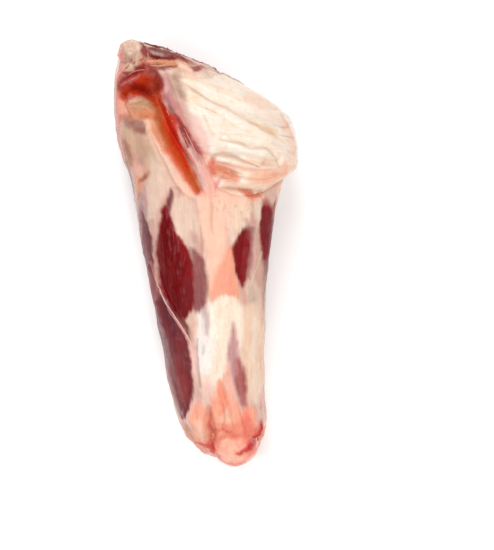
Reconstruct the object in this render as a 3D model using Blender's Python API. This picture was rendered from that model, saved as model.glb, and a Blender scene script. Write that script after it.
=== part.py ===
"""A raw lamb shank lying on its side, with the elbow cut at +Y and the knuckle at -Y.

Three solids make it. The meat is lofted through ribs, slanted towards the elbow as the cut is. The fat pad
lies in a pocket on its right shoulder. The bone runs through the meat and shows at the elbow tip, in the
joint hollow and at the knuckle. The underside is flattened where the shank rests.

Metres, +Z up. A place on the skin is (around, share): degrees round the shank, from 0 at its right edge
through 90 on top to 180 at its left edge, and the share of the length from the knuckle to the elbow.
"""

import math

import bpy
import numpy as np

# Driving dimensions
MM = 0.001
MEAT_LENGTH = 0.1945
HALF_WIDTH = 0.0405
HEIGHT = 0.059
KNUCKLE_Y = -0.0980
FAT_THICKNESS = 0.0068
FAT_THINNEST = 0.0022
FAT_BEDDING = 0.0014
GAP = 0.0004

# How finely the solids are faceted
MEAT_RIBS = 78
MEAT_COLUMNS = 56
FAT_RINGS = 14
FAT_BED_RINGS = 5
FAT_SPOKES = 56
BONE_RINGS = 36
BONE_COLUMNS = 20
CROWDED_ENDS = 0.12

# The ribs: share of MEAT_LENGTH, sideways offset and half width as shares of HALF_WIDTH, slant in degrees,
# top and bottom as shares of HEIGHT. A bottom below zero is where the meat is pressed flat by its weight.
RIBS = (
    (0.000, 0.085, 0.000, 0, 0.30, 0.30),
    (0.008, 0.090, 0.170, 0, 0.38, 0.16),
    (0.026, 0.080, 0.310, 0, 0.45, 0.05),
    (0.057, 0.045, 0.425, 0, 0.54, -0.02),
    (0.104, 0.015, 0.498, 0, 0.65, -0.04),
    (0.185, -0.025, 0.550, 0, 0.73, -0.04),
    (0.325, -0.025, 0.614, 0, 0.78, -0.04),
    (0.445, -0.015, 0.690, 0, 0.84, -0.04),
    (0.535, 0.015, 0.762, -1, 0.89, -0.04),
    (0.606, 0.037, 0.812, -3, 0.93, -0.05),
    (0.664, 0.052, 0.865, -6, 0.96, -0.05),
    (0.715, 0.040, 0.930, -10, 0.98, -0.05),
    (0.772, 0.032, 0.990, -13, 1.00, -0.05),
    (0.853, 0.020, 0.965, -16, 0.98, -0.04),
    (0.913, -0.030, 0.857, -19, 0.94, -0.01),
    (0.954, -0.110, 0.712, -21, 0.88, 0.06),
    (0.981, -0.180, 0.535, -23, 0.80, 0.15),
    (0.994, -0.225, 0.320, -25, 0.70, 0.27),
    (1.000, -0.245, 0.000, -26, 0.50, 0.50),
)
WIDEST_AT = 0.46
SQUARENESS = 2.25

# Columns lie closer together on top than under the shank, and ribs at the joint hollow, where the relief is
CROWDED_AROUND = 118.0
CROWDED_SPREAD = 42.0
CROWDED_COLUMNS = 2.4
CROWDED_SHARE = 0.87
CROWDED_LENGTH = 0.09
CROWDED_RIBS = 1.2

# Relief on the meat: height in millimetres of a stroke over the skin, and its places (around, share, half
# width in millimetres)
MEAT_RELIEF = (
    # The groove from the joint hollow, its bank, and the hollow
    (-4.8, ((122, 0.872, 4.6), (115, 0.829, 4.4), (109, 0.779, 4.2), (102, 0.731, 4.0), (92, 0.640, 2.2))),
    (1.2, ((126, 0.800, 3.5), (118, 0.760, 4.6), (112, 0.714, 4.4), (106, 0.670, 4.0), (97, 0.630, 2.0))),
    (-6.0, ((152, 0.842, 4.5), (140, 0.850, 6.4), (128, 0.862, 6.6), (118, 0.876, 5.4))),
    # The torn edge between the hollow and the elbow tip, and the cut muscle beyond it
    (1.4, ((157, 0.880, 3.2), (140, 0.902, 3.8), (124, 0.926, 3.8), (109, 0.944, 3.2))),
    (-1.4, ((150, 0.920, 3.0), (134, 0.938, 3.8), (112, 0.956, 3.8), (85, 0.966, 3.4), (64, 0.962, 2.0))),
    (1.2, ((118, 0.980, 3.6), (100, 0.982, 4.4), (70, 0.982, 3.4))),
    # The muscle bellies, each tapering into its tendon
    (1.2, ((115, 0.640, 4.0), (122, 0.596, 9.0), (122, 0.539, 11.0), (118, 0.470, 10.0), (114, 0.370, 5.0))),
    (1.6, ((157, 0.477, 6.0), (154, 0.400, 8.0), (142, 0.326, 9.0), (133, 0.252, 9.0), (132, 0.150, 5.0))),
    (1.0, ((80, 0.615, 7.0), (79, 0.506, 7.0), (79, 0.386, 6.5), (84, 0.268, 6.0), (91, 0.148, 5.0))),
    (1.1, ((24, 0.620, 6.0), (24, 0.550, 9.0), (22, 0.470, 9.0), (18, 0.360, 8.0), (18, 0.240, 5.0))),
    (1.6, ((205, 0.860, 8.0), (214, 0.700, 12.0), (220, 0.500, 12.0), (228, 0.260, 8.0))),
    (1.6, ((312, 0.780, 8.0), (308, 0.620, 12.0), (304, 0.440, 11.0), (300, 0.220, 7.0))),
    # The valleys between them
    (-1.3, ((99, 0.625, 3.0), (96, 0.550, 4.0), (97, 0.470, 4.0), (98, 0.390, 3.5), (100, 0.300, 2.5))),
    (-1.2, ((142, 0.466, 3.0), (136, 0.401, 3.6), (125, 0.352, 3.8), (115, 0.312, 3.6), (108, 0.279, 2.5))),
    (-1.1, ((53, 0.560, 3.0), (58, 0.519, 4.5), (57, 0.473, 4.5), (56, 0.410, 3.0))),
    (-1.1, ((66, 0.329, 2.5), (67, 0.276, 3.8), (66, 0.216, 3.8), (61, 0.119, 2.5))),
    (-1.2, ((158, 0.790, 3.0), (140, 0.792, 4.0), (126, 0.786, 3.0))),
    (-1.8, ((180, 0.860, 2.0), (184, 0.700, 6.0), (188, 0.480, 6.5), (190, 0.300, 5.0), (190, 0.180, 1.0))),
    (-1.8, ((350, 0.660, 2.0), (347, 0.560, 6.0), (345, 0.400, 6.0), (344, 0.220, 1.0))),
    # The lobes round the knuckle and the clefts between them
    (2.6, ((140, 0.120, 5.0), (128, 0.093, 7.0), (124, 0.062, 5.5))),
    (1.8, ((52, 0.140, 4.0), (42, 0.098, 6.0), (34, 0.066, 5.0))),
    (-3.2, ((103, 0.130, 2.6), (107, 0.090, 3.6), (114, 0.054, 3.8), (121, 0.025, 3.0))),
    (-2.0, ((62, 0.034, 2.4), (45, 0.040, 2.8), (20, 0.050, 2.4), (4, 0.074, 2.0))),
)

# The outline of the fat pad, as places (around, share). It wraps over the right side.
FAT_OUTLINE = (
    (108, 0.920),
    (88, 0.940),
    (54, 0.958),
    (24, 0.956),
    (0, 0.938),
    (-20, 0.905),
    (-31, 0.850),
    (-32, 0.790),
    (-22, 0.735),
    (-4, 0.690),
    (17, 0.662),
    (42, 0.630),
    (60, 0.615),
    (76, 0.622),
    (86, 0.640),
    (91, 0.680),
    (95, 0.727),
    (100, 0.785),
    (104, 0.838),
    (107, 0.882),
)
FAT_MIDDLE = (52.0, 0.790)
FAT_EDGE_POWER = 5.0
POCKET_HEADROOM = 0.009

# The pad is full between the first place and thinnest at the second: round the shank, and along it
FAT_FULL_AROUND, FAT_THIN_AROUND = 18.0, 104.0
FAT_FULL_SHARE, FAT_THIN_SHARE = 0.815, 0.945

# Relief on the fat pad, given as on the meat: its folds, the swells between them and the two sunken pockets
FAT_RELIEF = (
    (-1.3, ((96, 0.915, 2.4), (89, 0.897, 3.0), (78, 0.872, 3.2), (64, 0.861, 3.4), (26, 0.824, 3.0))),
    (-0.9, ((86, 0.925, 2.4), (72, 0.936, 3.0), (56, 0.940, 2.4))),
    (-1.3, ((82, 0.781, 2.4), (69, 0.785, 3.0), (46, 0.774, 3.2), (38, 0.780, 3.0), (20, 0.770, 2.4))),
    (-1.5, ((86, 0.726, 2.6), (81, 0.741, 3.2), (70, 0.743, 3.2), (46, 0.733, 3.2), (38, 0.744, 2.6))),
    (-1.2, ((80, 0.698, 2.4), (66, 0.693, 2.8), (46, 0.700, 2.8), (29, 0.709, 2.4))),
    (-1.0, ((78, 0.652, 2.2), (59, 0.647, 2.6), (44, 0.642, 2.2))),
    (-1.6, ((86, 0.728, 3.0), (80, 0.712, 4.0), (71, 0.694, 3.4))),
    (0.9, ((84, 0.830, 4.0), (64, 0.822, 5.0), (36, 0.803, 4.5), (10, 0.800, 4.0))),
    (0.8, ((78, 0.905, 3.5), (50, 0.900, 4.5), (20, 0.880, 4.0))),
    (0.7, ((72, 0.762, 3.0), (50, 0.755, 3.2), (28, 0.745, 3.0))),
)

# The bone's rings: x, y, z, half width and half height in millimetres, from the elbow tip to the knuckle
BONE = (
    (-26.6, 101.4, 37.0, 6.8, 6.4),
    (-25.8, 95.0, 37.6, 7.4, 7.0),
    (-24.8, 88.0, 35.0, 7.4, 7.0),
    (-24.0, 80.5, 34.5, 7.2, 7.0),
    (-23.4, 74.5, 39.5, 7.2, 9.0),
    (-22.8, 68.5, 41.5, 7.4, 9.6),
    (-20.4, 61.0, 38.0, 7.6, 8.4),
    (-15.4, 49.0, 34.0, 8.0, 8.0),
    (-10.7, 32.3, 30.0, 8.0, 8.0),
    (-6.6, 15.5, 27.0, 7.6, 7.6),
    (-3.8, -5.8, 25.0, 7.0, 7.0),
    (-1.0, -27.0, 23.0, 7.0, 7.0),
    (0.7, -45.9, 21.5, 7.2, 7.2),
    (1.6, -64.7, 20.5, 8.0, 8.0),
    (3.4, -78.0, 20.0, 9.4, 10.0),
    (4.6, -88.0, 20.0, 10.8, 12.4),
    (5.2, -96.0, 19.5, 10.4, 12.0),
    (4.8, -101.2, 19.0, 9.2, 11.0),
)
ELBOW_DOME = 0.0065
KNUCKLE_DOME = 0.0095
KNUCKLE_NOTCH = 0.15
KNUCKLE_NOTCH_FROM = -0.082
KNUCKLE_NOTCH_LENGTH = 0.012
NOTCH_SPREAD = 24.0

LEAN_COLOUR, LEAN_ROUGHNESS = (0.30, 0.035, 0.040), 0.35
FAT_COLOUR, FAT_ROUGHNESS = (0.84, 0.66, 0.52), 0.40
BONE_COLOUR, BONE_ROUGHNESS = (0.76, 0.50, 0.38), 0.30

# How finely tables and strokes are read, and the steps over which the skin's slope is measured
SPLINE_SAMPLES = 2400
STROKE_SAMPLES = 48
STEP_AROUND = 0.6
STEP_SHARE = 0.002
TINY = 1e-12


def spline(rows, u):
    """Catmull-Rom through the rows of a table, read at the row numbers u."""
    rows = np.asarray(rows, float)
    u = np.clip(np.asarray(u, float), 0, len(rows) - 1)
    i = np.minimum(u.astype(int), len(rows) - 2)
    t = (u - i)[..., None]
    before, a, b, after = (rows[np.clip(i + k, 0, len(rows) - 1)] for k in (-1, 0, 1, 2))
    slope_a, slope_b = (b - before) / 2, (after - a) / 2
    return (
        (2 * t**3 - 3 * t**2 + 1) * a
        + (t**3 - 2 * t**2 + t) * slope_a
        + (3 * t**2 - 2 * t**3) * b
        + (t**3 - t**2) * slope_b
    )


RIB_NUMBERS = np.linspace(0, len(RIBS) - 1, SPLINE_SAMPLES)
RIB_SHARES = np.maximum.accumulate(spline(RIBS, RIB_NUMBERS)[:, 0])


def smooth(low, high, value):
    """0 at low, 1 at high, with a smooth rise between."""
    t = np.clip((value - low) / (high - low), 0, 1)
    return t * t * (3 - 2 * t)


def spread_evenly(positions, weights, count):
    """Positions spaced so that each of the count steps holds the same weight."""
    total = np.concatenate([[0], np.cumsum((weights[1:] + weights[:-1]) / 2 * np.diff(positions))])
    return np.interp(np.linspace(0, total[-1], count + 1), total, positions)


def skin(around, share):
    """Points of the smooth meat, before its relief and before its underside is pressed flat."""
    around, share = np.broadcast_arrays(np.asarray(around, float), np.asarray(share, float))
    rib = spline(RIBS, np.interp(share, RIB_SHARES, RIB_NUMBERS))
    offset, half, slant, top, bottom = (rib[..., k] for k in range(1, 6))
    half = np.maximum(half, 0) * HALF_WIDTH
    level = bottom + WIDEST_AT * (top - bottom)
    angle, slant = np.radians(around), np.radians(slant)
    cos, sin = np.cos(angle), np.sin(angle)
    across = half * np.sign(cos) * np.abs(cos) ** (2 / SQUARENESS)
    rise = np.where(sin > 0, top - level, level - bottom)
    return np.stack(
        [
            offset * HALF_WIDTH + across * np.cos(slant),
            KNUCKLE_Y + share * MEAT_LENGTH + across * np.sin(slant),
            HEIGHT * (level + rise * np.sign(sin) * np.abs(sin) ** (2 / SQUARENESS)),
        ],
        axis=-1,
    )


def outward(around, share):
    """Unit vectors pointing out of the smooth meat."""
    along = skin(around, np.minimum(share + STEP_SHARE, 1)) - skin(around, np.maximum(share - STEP_SHARE, 0))
    about = skin(around + STEP_AROUND, share) - skin(around - STEP_AROUND, share)
    out = np.cross(along, about)
    return out / np.maximum(np.linalg.norm(out, axis=-1, keepdims=True), TINY)


def stroke(places, points):
    """How strongly a stroke over the skin reaches each point: 1 on its widest part, 0 past its half width."""
    line = spline(places, np.linspace(0, len(places) - 1, STROKE_SAMPLES))
    reach = np.zeros(points.shape[:-1])
    for middle, half_width in zip(skin(line[:, 0], line[:, 1]), line[:, 2]):
        distance = np.linalg.norm(points - middle, axis=-1) / (half_width * MM)
        reach = np.maximum(reach, np.maximum(1 - distance**2, 0) ** 2 * half_width / line[:, 2].max())
    return reach


def relief(strokes, points):
    return sum(height * MM * stroke(places, points) for height, places in strokes)


def add_object(name, loft, colour, roughness):
    points, faces = loft
    mesh = bpy.data.meshes.new(name)
    mesh.from_pydata([tuple(map(float, point)) for point in points], [], faces)
    mesh.shade_smooth()
    thing = bpy.data.objects.new(name, mesh)
    bpy.context.scene.collection.objects.link(thing)
    material = bpy.data.materials.new(name)
    material.use_nodes = True
    shader = material.node_tree.nodes["Principled BSDF"]
    shader.inputs["Base Color"].default_value = (*colour, 1)
    shader.inputs["Roughness"].default_value = roughness
    shader.inputs["Metallic"].default_value = 0
    mesh.materials.append(material)
    return thing


def closed_loft(rings, start, end):
    """Points and triangles of rings joined in turn and closed by a point at each end."""
    count, columns = rings.shape[:2]
    points = [*rings.reshape(-1, 3), start, end]
    first, last = count * columns, count * columns + 1
    faces = []
    for column in range(columns):
        after = (column + 1) % columns
        faces.append((first, column, after))
        faces.append((last, (count - 1) * columns + after, (count - 1) * columns + column))
        for ring in range(count - 1):
            a, b = ring * columns + column, ring * columns + after
            faces.append((a, b + columns, b))
            faces.append((a, a + columns, b + columns))
    return points, faces


def make_meat():
    samples = np.linspace(0, 1, SPLINE_SAMPLES)
    profile = spline(RIBS, np.interp(samples, RIB_SHARES, RIB_NUMBERS))
    slope = np.gradient(np.maximum(profile[:, 2], 0) * HALF_WIDTH, samples * MEAT_LENGTH)
    crowding = 1 + CROWDED_RIBS * np.exp(-(((samples - CROWDED_SHARE) / CROWDED_LENGTH) ** 2))
    shares = spread_evenly(samples, np.sqrt(1 + slope**2) * crowding, MEAT_RIBS + 1)
    angles = np.linspace(0, 360, SPLINE_SAMPLES)
    crowding = 1 + CROWDED_COLUMNS * np.exp(-(((angles - CROWDED_AROUND) / CROWDED_SPREAD) ** 2))
    around = spread_evenly(angles, crowding, MEAT_COLUMNS)[:-1]
    around, share = np.meshgrid(around, shares[1:-1])
    points = skin(around, share)
    points += relief(MEAT_RELIEF, points)[..., None] * outward(around, share)
    points[..., 2] = np.maximum(points[..., 2], 0)
    return add_object("lean_meat", closed_loft(points, skin(0, 0), skin(0, 1)), LEAN_COLOUR, LEAN_ROUGHNESS)


def fat_places(rings, grown):
    """Places (around, share) on rings from the pad's middle to its outline, grown outwards by a length."""
    turns = np.linspace(0, len(FAT_OUTLINE), FAT_SPOKES, endpoint=False)
    wrapped = (*FAT_OUTLINE[-2:], *FAT_OUTLINE, *FAT_OUTLINE[:2])
    outline = spline(wrapped, turns + 2)
    middle = np.array(FAT_MIDDLE)
    reach = np.linalg.norm(skin(*outline.T) - skin(*middle), axis=-1)[:, None]
    outline = middle + (outline - middle) * (1 + grown / reach)
    places = middle + rings[:, None, None] * (outline - middle)
    return places[..., 0], places[..., 1]


def fat_height(around, share):
    """How far the pad stands above the smooth meat, before its edge is rounded."""
    full = smooth(FAT_THIN_AROUND, FAT_FULL_AROUND, around) * smooth(FAT_THIN_SHARE, FAT_FULL_SHARE, share)
    thickness = FAT_THINNEST + (FAT_THICKNESS - FAT_THINNEST) * full
    return thickness + relief(FAT_RELIEF, skin(around, share))


def make_fat():
    rings = np.sin(np.linspace(0, math.pi / 2, FAT_RINGS + 1))[1:]
    around, share = fat_places(rings, 0)
    edge = np.sqrt(1 - rings**FAT_EDGE_POWER)[:, None]
    height = (FAT_BEDDING + fat_height(around, share)) * edge - FAT_BEDDING
    outer = skin(around, share) + height[..., None] * outward(around, share)
    around, share = fat_places(np.linspace(1, 0, FAT_BED_RINGS + 1)[1:-1], 0)
    bed = skin(around, share) - FAT_BEDDING * outward(around, share)
    middle, out = skin(*FAT_MIDDLE), outward(*FAT_MIDDLE)
    top = middle + fat_height(*FAT_MIDDLE) * out
    rings = np.concatenate([outer, bed])[:, ::-1]
    loft = closed_loft(rings, top, middle - FAT_BEDDING * out)
    return add_object("fat_cap", loft, FAT_COLOUR, FAT_ROUGHNESS)


def make_pocket():
    """The cutter that clears the fat pad's bed in the meat: the pad's outline, grown by the gap."""
    around, share = fat_places(np.linspace(0, 1, FAT_BED_RINGS + 1)[1:], GAP)
    base, out = skin(around, share), outward(around, share)
    depth = FAT_BEDDING + GAP
    rings = np.concatenate([base + POCKET_HEADROOM * out, (base - depth * out)[::-1]])[:, ::-1]
    middle, out = skin(*FAT_MIDDLE), outward(*FAT_MIDDLE)
    loft = closed_loft(rings, middle + POCKET_HEADROOM * out, middle - depth * out)
    return add_object("pocket_cutter", loft, FAT_COLOUR, FAT_ROUGHNESS)


def bone_loft(grown):
    """The bone's rings stand across Y. Both ends are domed, and the knuckle has a notch over and under it."""
    elbow, knuckle = BONE[0][1] * MM + grown, BONE[-1][1] * MM - grown
    turn = np.linspace(0, 1, BONE_RINGS + 2)[1:-1]
    y = elbow + (knuckle - elbow) * (turn - CROWDED_ENDS * np.sin(2 * math.pi * turn))
    numbers = np.interp(-y, [-row[1] * MM for row in BONE], range(len(BONE)))
    rows = spline(BONE, numbers) * MM
    dome = np.sqrt(1 - (1 - np.clip((elbow - y) / ELBOW_DOME, 0, 1)) ** 2)
    dome *= np.sqrt(1 - (1 - np.clip((y - knuckle) / KNUCKLE_DOME, 0, 1)) ** 2)
    notched = smooth(KNUCKLE_NOTCH_FROM, KNUCKLE_NOTCH_FROM - KNUCKLE_NOTCH_LENGTH, y)
    around = np.linspace(0, 360, BONE_COLUMNS, endpoint=False)
    from_pole = np.abs(np.mod(around, 180) - 90)
    notch = 1 - KNUCKLE_NOTCH * notched[:, None] * np.exp(-((from_pole / NOTCH_SPREAD) ** 2))
    angle = np.radians(around)
    rings = np.stack(
        [
            rows[:, :1] + (rows[:, 3:4] + grown) * dome[:, None] * notch * np.cos(angle),
            np.broadcast_to(y[:, None], notch.shape),
            rows[:, 2:3] + (rows[:, 4:5] + grown) * dome[:, None] * notch * np.sin(angle),
        ],
        axis=-1,
    )
    start = np.array([BONE[0][0] * MM, elbow, BONE[0][2] * MM])
    end = np.array([BONE[-1][0] * MM, knuckle, BONE[-1][2] * MM])
    return closed_loft(rings[:, ::-1], start, end)


def cut(thing, cutter):
    boolean = thing.modifiers.new(cutter.name, "BOOLEAN")
    boolean.operation = "DIFFERENCE"
    boolean.solver = "EXACT"
    boolean.object = cutter
    cutter.hide_render = True
    cutter.display_type = "WIRE"


def main():
    for thing in list(bpy.data.objects):
        bpy.data.objects.remove(thing)
    meat = make_meat()
    make_fat()
    add_object("shank_bone", bone_loft(0), BONE_COLOUR, BONE_ROUGHNESS)
    cut(meat, make_pocket())
    cut(meat, add_object("bone_cutter", bone_loft(GAP), BONE_COLOUR, BONE_ROUGHNESS))


if __name__ == "__main__":
    main()
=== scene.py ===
"""A raw lamb shank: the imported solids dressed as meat, fat and bone, on a white table under soft light."""

import itertools
import math

import bpy
import numpy as np
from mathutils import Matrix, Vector


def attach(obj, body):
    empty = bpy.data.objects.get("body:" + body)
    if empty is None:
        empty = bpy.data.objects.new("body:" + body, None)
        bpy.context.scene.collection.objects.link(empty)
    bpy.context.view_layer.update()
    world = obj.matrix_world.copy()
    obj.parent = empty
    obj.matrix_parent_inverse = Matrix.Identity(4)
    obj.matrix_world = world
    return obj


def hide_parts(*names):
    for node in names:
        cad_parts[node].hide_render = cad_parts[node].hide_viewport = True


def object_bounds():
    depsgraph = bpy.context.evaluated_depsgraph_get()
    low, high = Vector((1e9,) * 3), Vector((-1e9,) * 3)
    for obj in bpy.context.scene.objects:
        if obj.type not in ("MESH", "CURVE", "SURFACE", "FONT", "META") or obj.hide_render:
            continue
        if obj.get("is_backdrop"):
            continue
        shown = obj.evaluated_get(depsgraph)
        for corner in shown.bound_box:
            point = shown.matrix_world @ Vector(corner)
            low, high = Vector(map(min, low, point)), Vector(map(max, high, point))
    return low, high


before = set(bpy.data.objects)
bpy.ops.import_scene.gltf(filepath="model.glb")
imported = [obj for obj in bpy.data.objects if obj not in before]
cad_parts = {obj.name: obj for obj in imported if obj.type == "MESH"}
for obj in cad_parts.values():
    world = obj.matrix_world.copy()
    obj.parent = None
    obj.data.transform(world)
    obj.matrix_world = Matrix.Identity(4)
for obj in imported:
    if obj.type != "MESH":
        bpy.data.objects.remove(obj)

CAD_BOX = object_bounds()

# ---- The solids' shape ----
# A place on the skin is (around, share): degrees round the shank, from 0 at its right edge through 90
# on top to 180 at its left edge, and the share of the length from the knuckle to the elbow.
MM = 0.001
MEAT_LENGTH = 0.1945
HALF_WIDTH = 0.0405
HEIGHT = 0.059
KNUCKLE_Y = -0.0980
FAT_THICKNESS = 0.0068
FAT_THINNEST = 0.0022
FAT_BEDDING = 0.0014

# Share of MEAT_LENGTH, sideways offset and half width as shares of HALF_WIDTH, slant in degrees, top and
# bottom as shares of HEIGHT
RIBS = (
    (0.000, 0.085, 0.000, 0, 0.30, 0.30),
    (0.008, 0.090, 0.170, 0, 0.38, 0.16),
    (0.026, 0.080, 0.310, 0, 0.45, 0.05),
    (0.057, 0.045, 0.425, 0, 0.54, -0.02),
    (0.104, 0.015, 0.498, 0, 0.65, -0.04),
    (0.185, -0.025, 0.550, 0, 0.73, -0.04),
    (0.325, -0.025, 0.614, 0, 0.78, -0.04),
    (0.445, -0.015, 0.690, 0, 0.84, -0.04),
    (0.535, 0.015, 0.762, -1, 0.89, -0.04),
    (0.606, 0.037, 0.812, -3, 0.93, -0.05),
    (0.664, 0.052, 0.865, -6, 0.96, -0.05),
    (0.715, 0.040, 0.930, -10, 0.98, -0.05),
    (0.772, 0.032, 0.990, -13, 1.00, -0.05),
    (0.853, 0.020, 0.965, -16, 0.98, -0.04),
    (0.913, -0.030, 0.857, -19, 0.94, -0.01),
    (0.954, -0.110, 0.712, -21, 0.88, 0.06),
    (0.981, -0.180, 0.535, -23, 0.80, 0.15),
    (0.994, -0.225, 0.320, -25, 0.70, 0.27),
    (1.000, -0.245, 0.000, -26, 0.50, 0.50),
)
WIDEST_AT = 0.46
SQUARENESS = 2.25

# Height in millimetres of a stroke over the skin, and its places (around, share, half width in millimetres)
MEAT_RELIEF = (
    # The groove from the joint hollow, its bank, and the hollow
    (-4.8, ((122, 0.872, 4.6), (115, 0.829, 4.4), (109, 0.779, 4.2), (102, 0.731, 4.0), (92, 0.640, 2.2))),
    (1.2, ((126, 0.800, 3.5), (118, 0.760, 4.6), (112, 0.714, 4.4), (106, 0.670, 4.0), (97, 0.630, 2.0))),
    (-6.0, ((152, 0.842, 4.5), (140, 0.850, 6.4), (128, 0.862, 6.6), (118, 0.876, 5.4))),
    # The torn edge between the hollow and the elbow tip, and the cut muscle beyond it
    (1.4, ((157, 0.880, 3.2), (140, 0.902, 3.8), (124, 0.926, 3.8), (109, 0.944, 3.2))),
    (-1.4, ((150, 0.920, 3.0), (134, 0.938, 3.8), (112, 0.956, 3.8), (85, 0.966, 3.4), (64, 0.962, 2.0))),
    (1.2, ((118, 0.980, 3.6), (100, 0.982, 4.4), (70, 0.982, 3.4))),
    # The muscle bellies, each tapering into its tendon
    (1.2, ((115, 0.640, 4.0), (122, 0.596, 9.0), (122, 0.539, 11.0), (118, 0.470, 10.0), (114, 0.370, 5.0))),
    (1.6, ((157, 0.477, 6.0), (154, 0.400, 8.0), (142, 0.326, 9.0), (133, 0.252, 9.0), (132, 0.150, 5.0))),
    (1.0, ((80, 0.615, 7.0), (79, 0.506, 7.0), (79, 0.386, 6.5), (84, 0.268, 6.0), (91, 0.148, 5.0))),
    (1.1, ((24, 0.620, 6.0), (24, 0.550, 9.0), (22, 0.470, 9.0), (18, 0.360, 8.0), (18, 0.240, 5.0))),
    (1.6, ((205, 0.860, 8.0), (214, 0.700, 12.0), (220, 0.500, 12.0), (228, 0.260, 8.0))),
    (1.6, ((312, 0.780, 8.0), (308, 0.620, 12.0), (304, 0.440, 11.0), (300, 0.220, 7.0))),
    # The valleys between them
    (-1.3, ((99, 0.625, 3.0), (96, 0.550, 4.0), (97, 0.470, 4.0), (98, 0.390, 3.5), (100, 0.300, 2.5))),
    (-1.2, ((142, 0.466, 3.0), (136, 0.401, 3.6), (125, 0.352, 3.8), (115, 0.312, 3.6), (108, 0.279, 2.5))),
    (-1.1, ((53, 0.560, 3.0), (58, 0.519, 4.5), (57, 0.473, 4.5), (56, 0.410, 3.0))),
    (-1.1, ((66, 0.329, 2.5), (67, 0.276, 3.8), (66, 0.216, 3.8), (61, 0.119, 2.5))),
    (-1.2, ((158, 0.790, 3.0), (140, 0.792, 4.0), (126, 0.786, 3.0))),
    (-1.8, ((180, 0.860, 2.0), (184, 0.700, 6.0), (188, 0.480, 6.5), (190, 0.300, 5.0), (190, 0.180, 1.0))),
    (-1.8, ((350, 0.660, 2.0), (347, 0.560, 6.0), (345, 0.400, 6.0), (344, 0.220, 1.0))),
    # The lobes round the knuckle and the clefts between them
    (2.6, ((140, 0.120, 5.0), (128, 0.093, 7.0), (124, 0.062, 5.5))),
    (1.8, ((52, 0.140, 4.0), (42, 0.098, 6.0), (34, 0.066, 5.0))),
    (-3.2, ((103, 0.130, 2.6), (107, 0.090, 3.6), (114, 0.054, 3.8), (121, 0.025, 3.0))),
    (-2.0, ((62, 0.034, 2.4), (45, 0.040, 2.8), (20, 0.050, 2.4), (4, 0.074, 2.0))),
)

# More of the same on the sides and underneath, where the solid is plainer
HIDDEN_RELIEF = (
    (1.2, ((200, 0.860, 7.0), (208, 0.720, 11.0), (214, 0.540, 11.0), (226, 0.300, 8.0))),
    (1.2, ((320, 0.800, 7.0), (312, 0.640, 11.0), (306, 0.440, 10.0), (302, 0.240, 7.0))),
    (-1.6, ((236, 0.900, 2.0), (240, 0.760, 5.0), (246, 0.560, 5.0), (254, 0.340, 4.0), (256, 0.200, 2.0))),
    (-1.4, ((184, 0.760, 3.0), (187, 0.600, 5.0), (189, 0.400, 5.0), (190, 0.220, 3.0))),
    (-1.4, ((349, 0.640, 3.0), (346, 0.480, 5.0), (345, 0.300, 4.0))),
    (-1.2, ((192, 0.930, 3.0), (214, 0.940, 4.0), (240, 0.935, 3.0))),
)

# The outline of the fat pad, as places (around, share), its middle, and its relief
FAT_OUTLINE = (
    (108, 0.920),
    (88, 0.940),
    (54, 0.958),
    (24, 0.956),
    (0, 0.938),
    (-20, 0.905),
    (-31, 0.850),
    (-32, 0.790),
    (-22, 0.735),
    (-4, 0.690),
    (17, 0.662),
    (42, 0.630),
    (60, 0.615),
    (76, 0.622),
    (86, 0.640),
    (91, 0.680),
    (95, 0.727),
    (100, 0.785),
    (104, 0.838),
    (107, 0.882),
)
FAT_MIDDLE = (52.0, 0.790)
FAT_EDGE_POWER = 5.0
# The pad is full at the first angle and share, and thinnest at the second
FAT_FULL_AROUND, FAT_THIN_AROUND = 18.0, 104.0
FAT_FULL_SHARE, FAT_THIN_SHARE = 0.815, 0.945
FAT_RELIEF = (
    (-1.3, ((96, 0.915, 2.4), (89, 0.897, 3.0), (78, 0.872, 3.2), (64, 0.861, 3.4), (26, 0.824, 3.0))),
    (-0.9, ((86, 0.925, 2.4), (72, 0.936, 3.0), (56, 0.940, 2.4))),
    (-1.3, ((82, 0.781, 2.4), (69, 0.785, 3.0), (46, 0.774, 3.2), (38, 0.780, 3.0), (20, 0.770, 2.4))),
    (-1.5, ((86, 0.726, 2.6), (81, 0.741, 3.2), (70, 0.743, 3.2), (46, 0.733, 3.2), (38, 0.744, 2.6))),
    (-1.2, ((80, 0.698, 2.4), (66, 0.693, 2.8), (46, 0.700, 2.8), (29, 0.709, 2.4))),
    (-1.0, ((78, 0.652, 2.2), (59, 0.647, 2.6), (44, 0.642, 2.2))),
    (-1.6, ((86, 0.728, 3.0), (80, 0.712, 4.0), (71, 0.694, 3.4))),
    (0.9, ((84, 0.830, 4.0), (64, 0.822, 5.0), (36, 0.803, 4.5), (10, 0.800, 4.0))),
    (0.8, ((78, 0.905, 3.5), (50, 0.900, 4.5), (20, 0.880, 4.0))),
    (0.7, ((72, 0.762, 3.0), (50, 0.755, 3.2), (28, 0.745, 3.0))),
)

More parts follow.
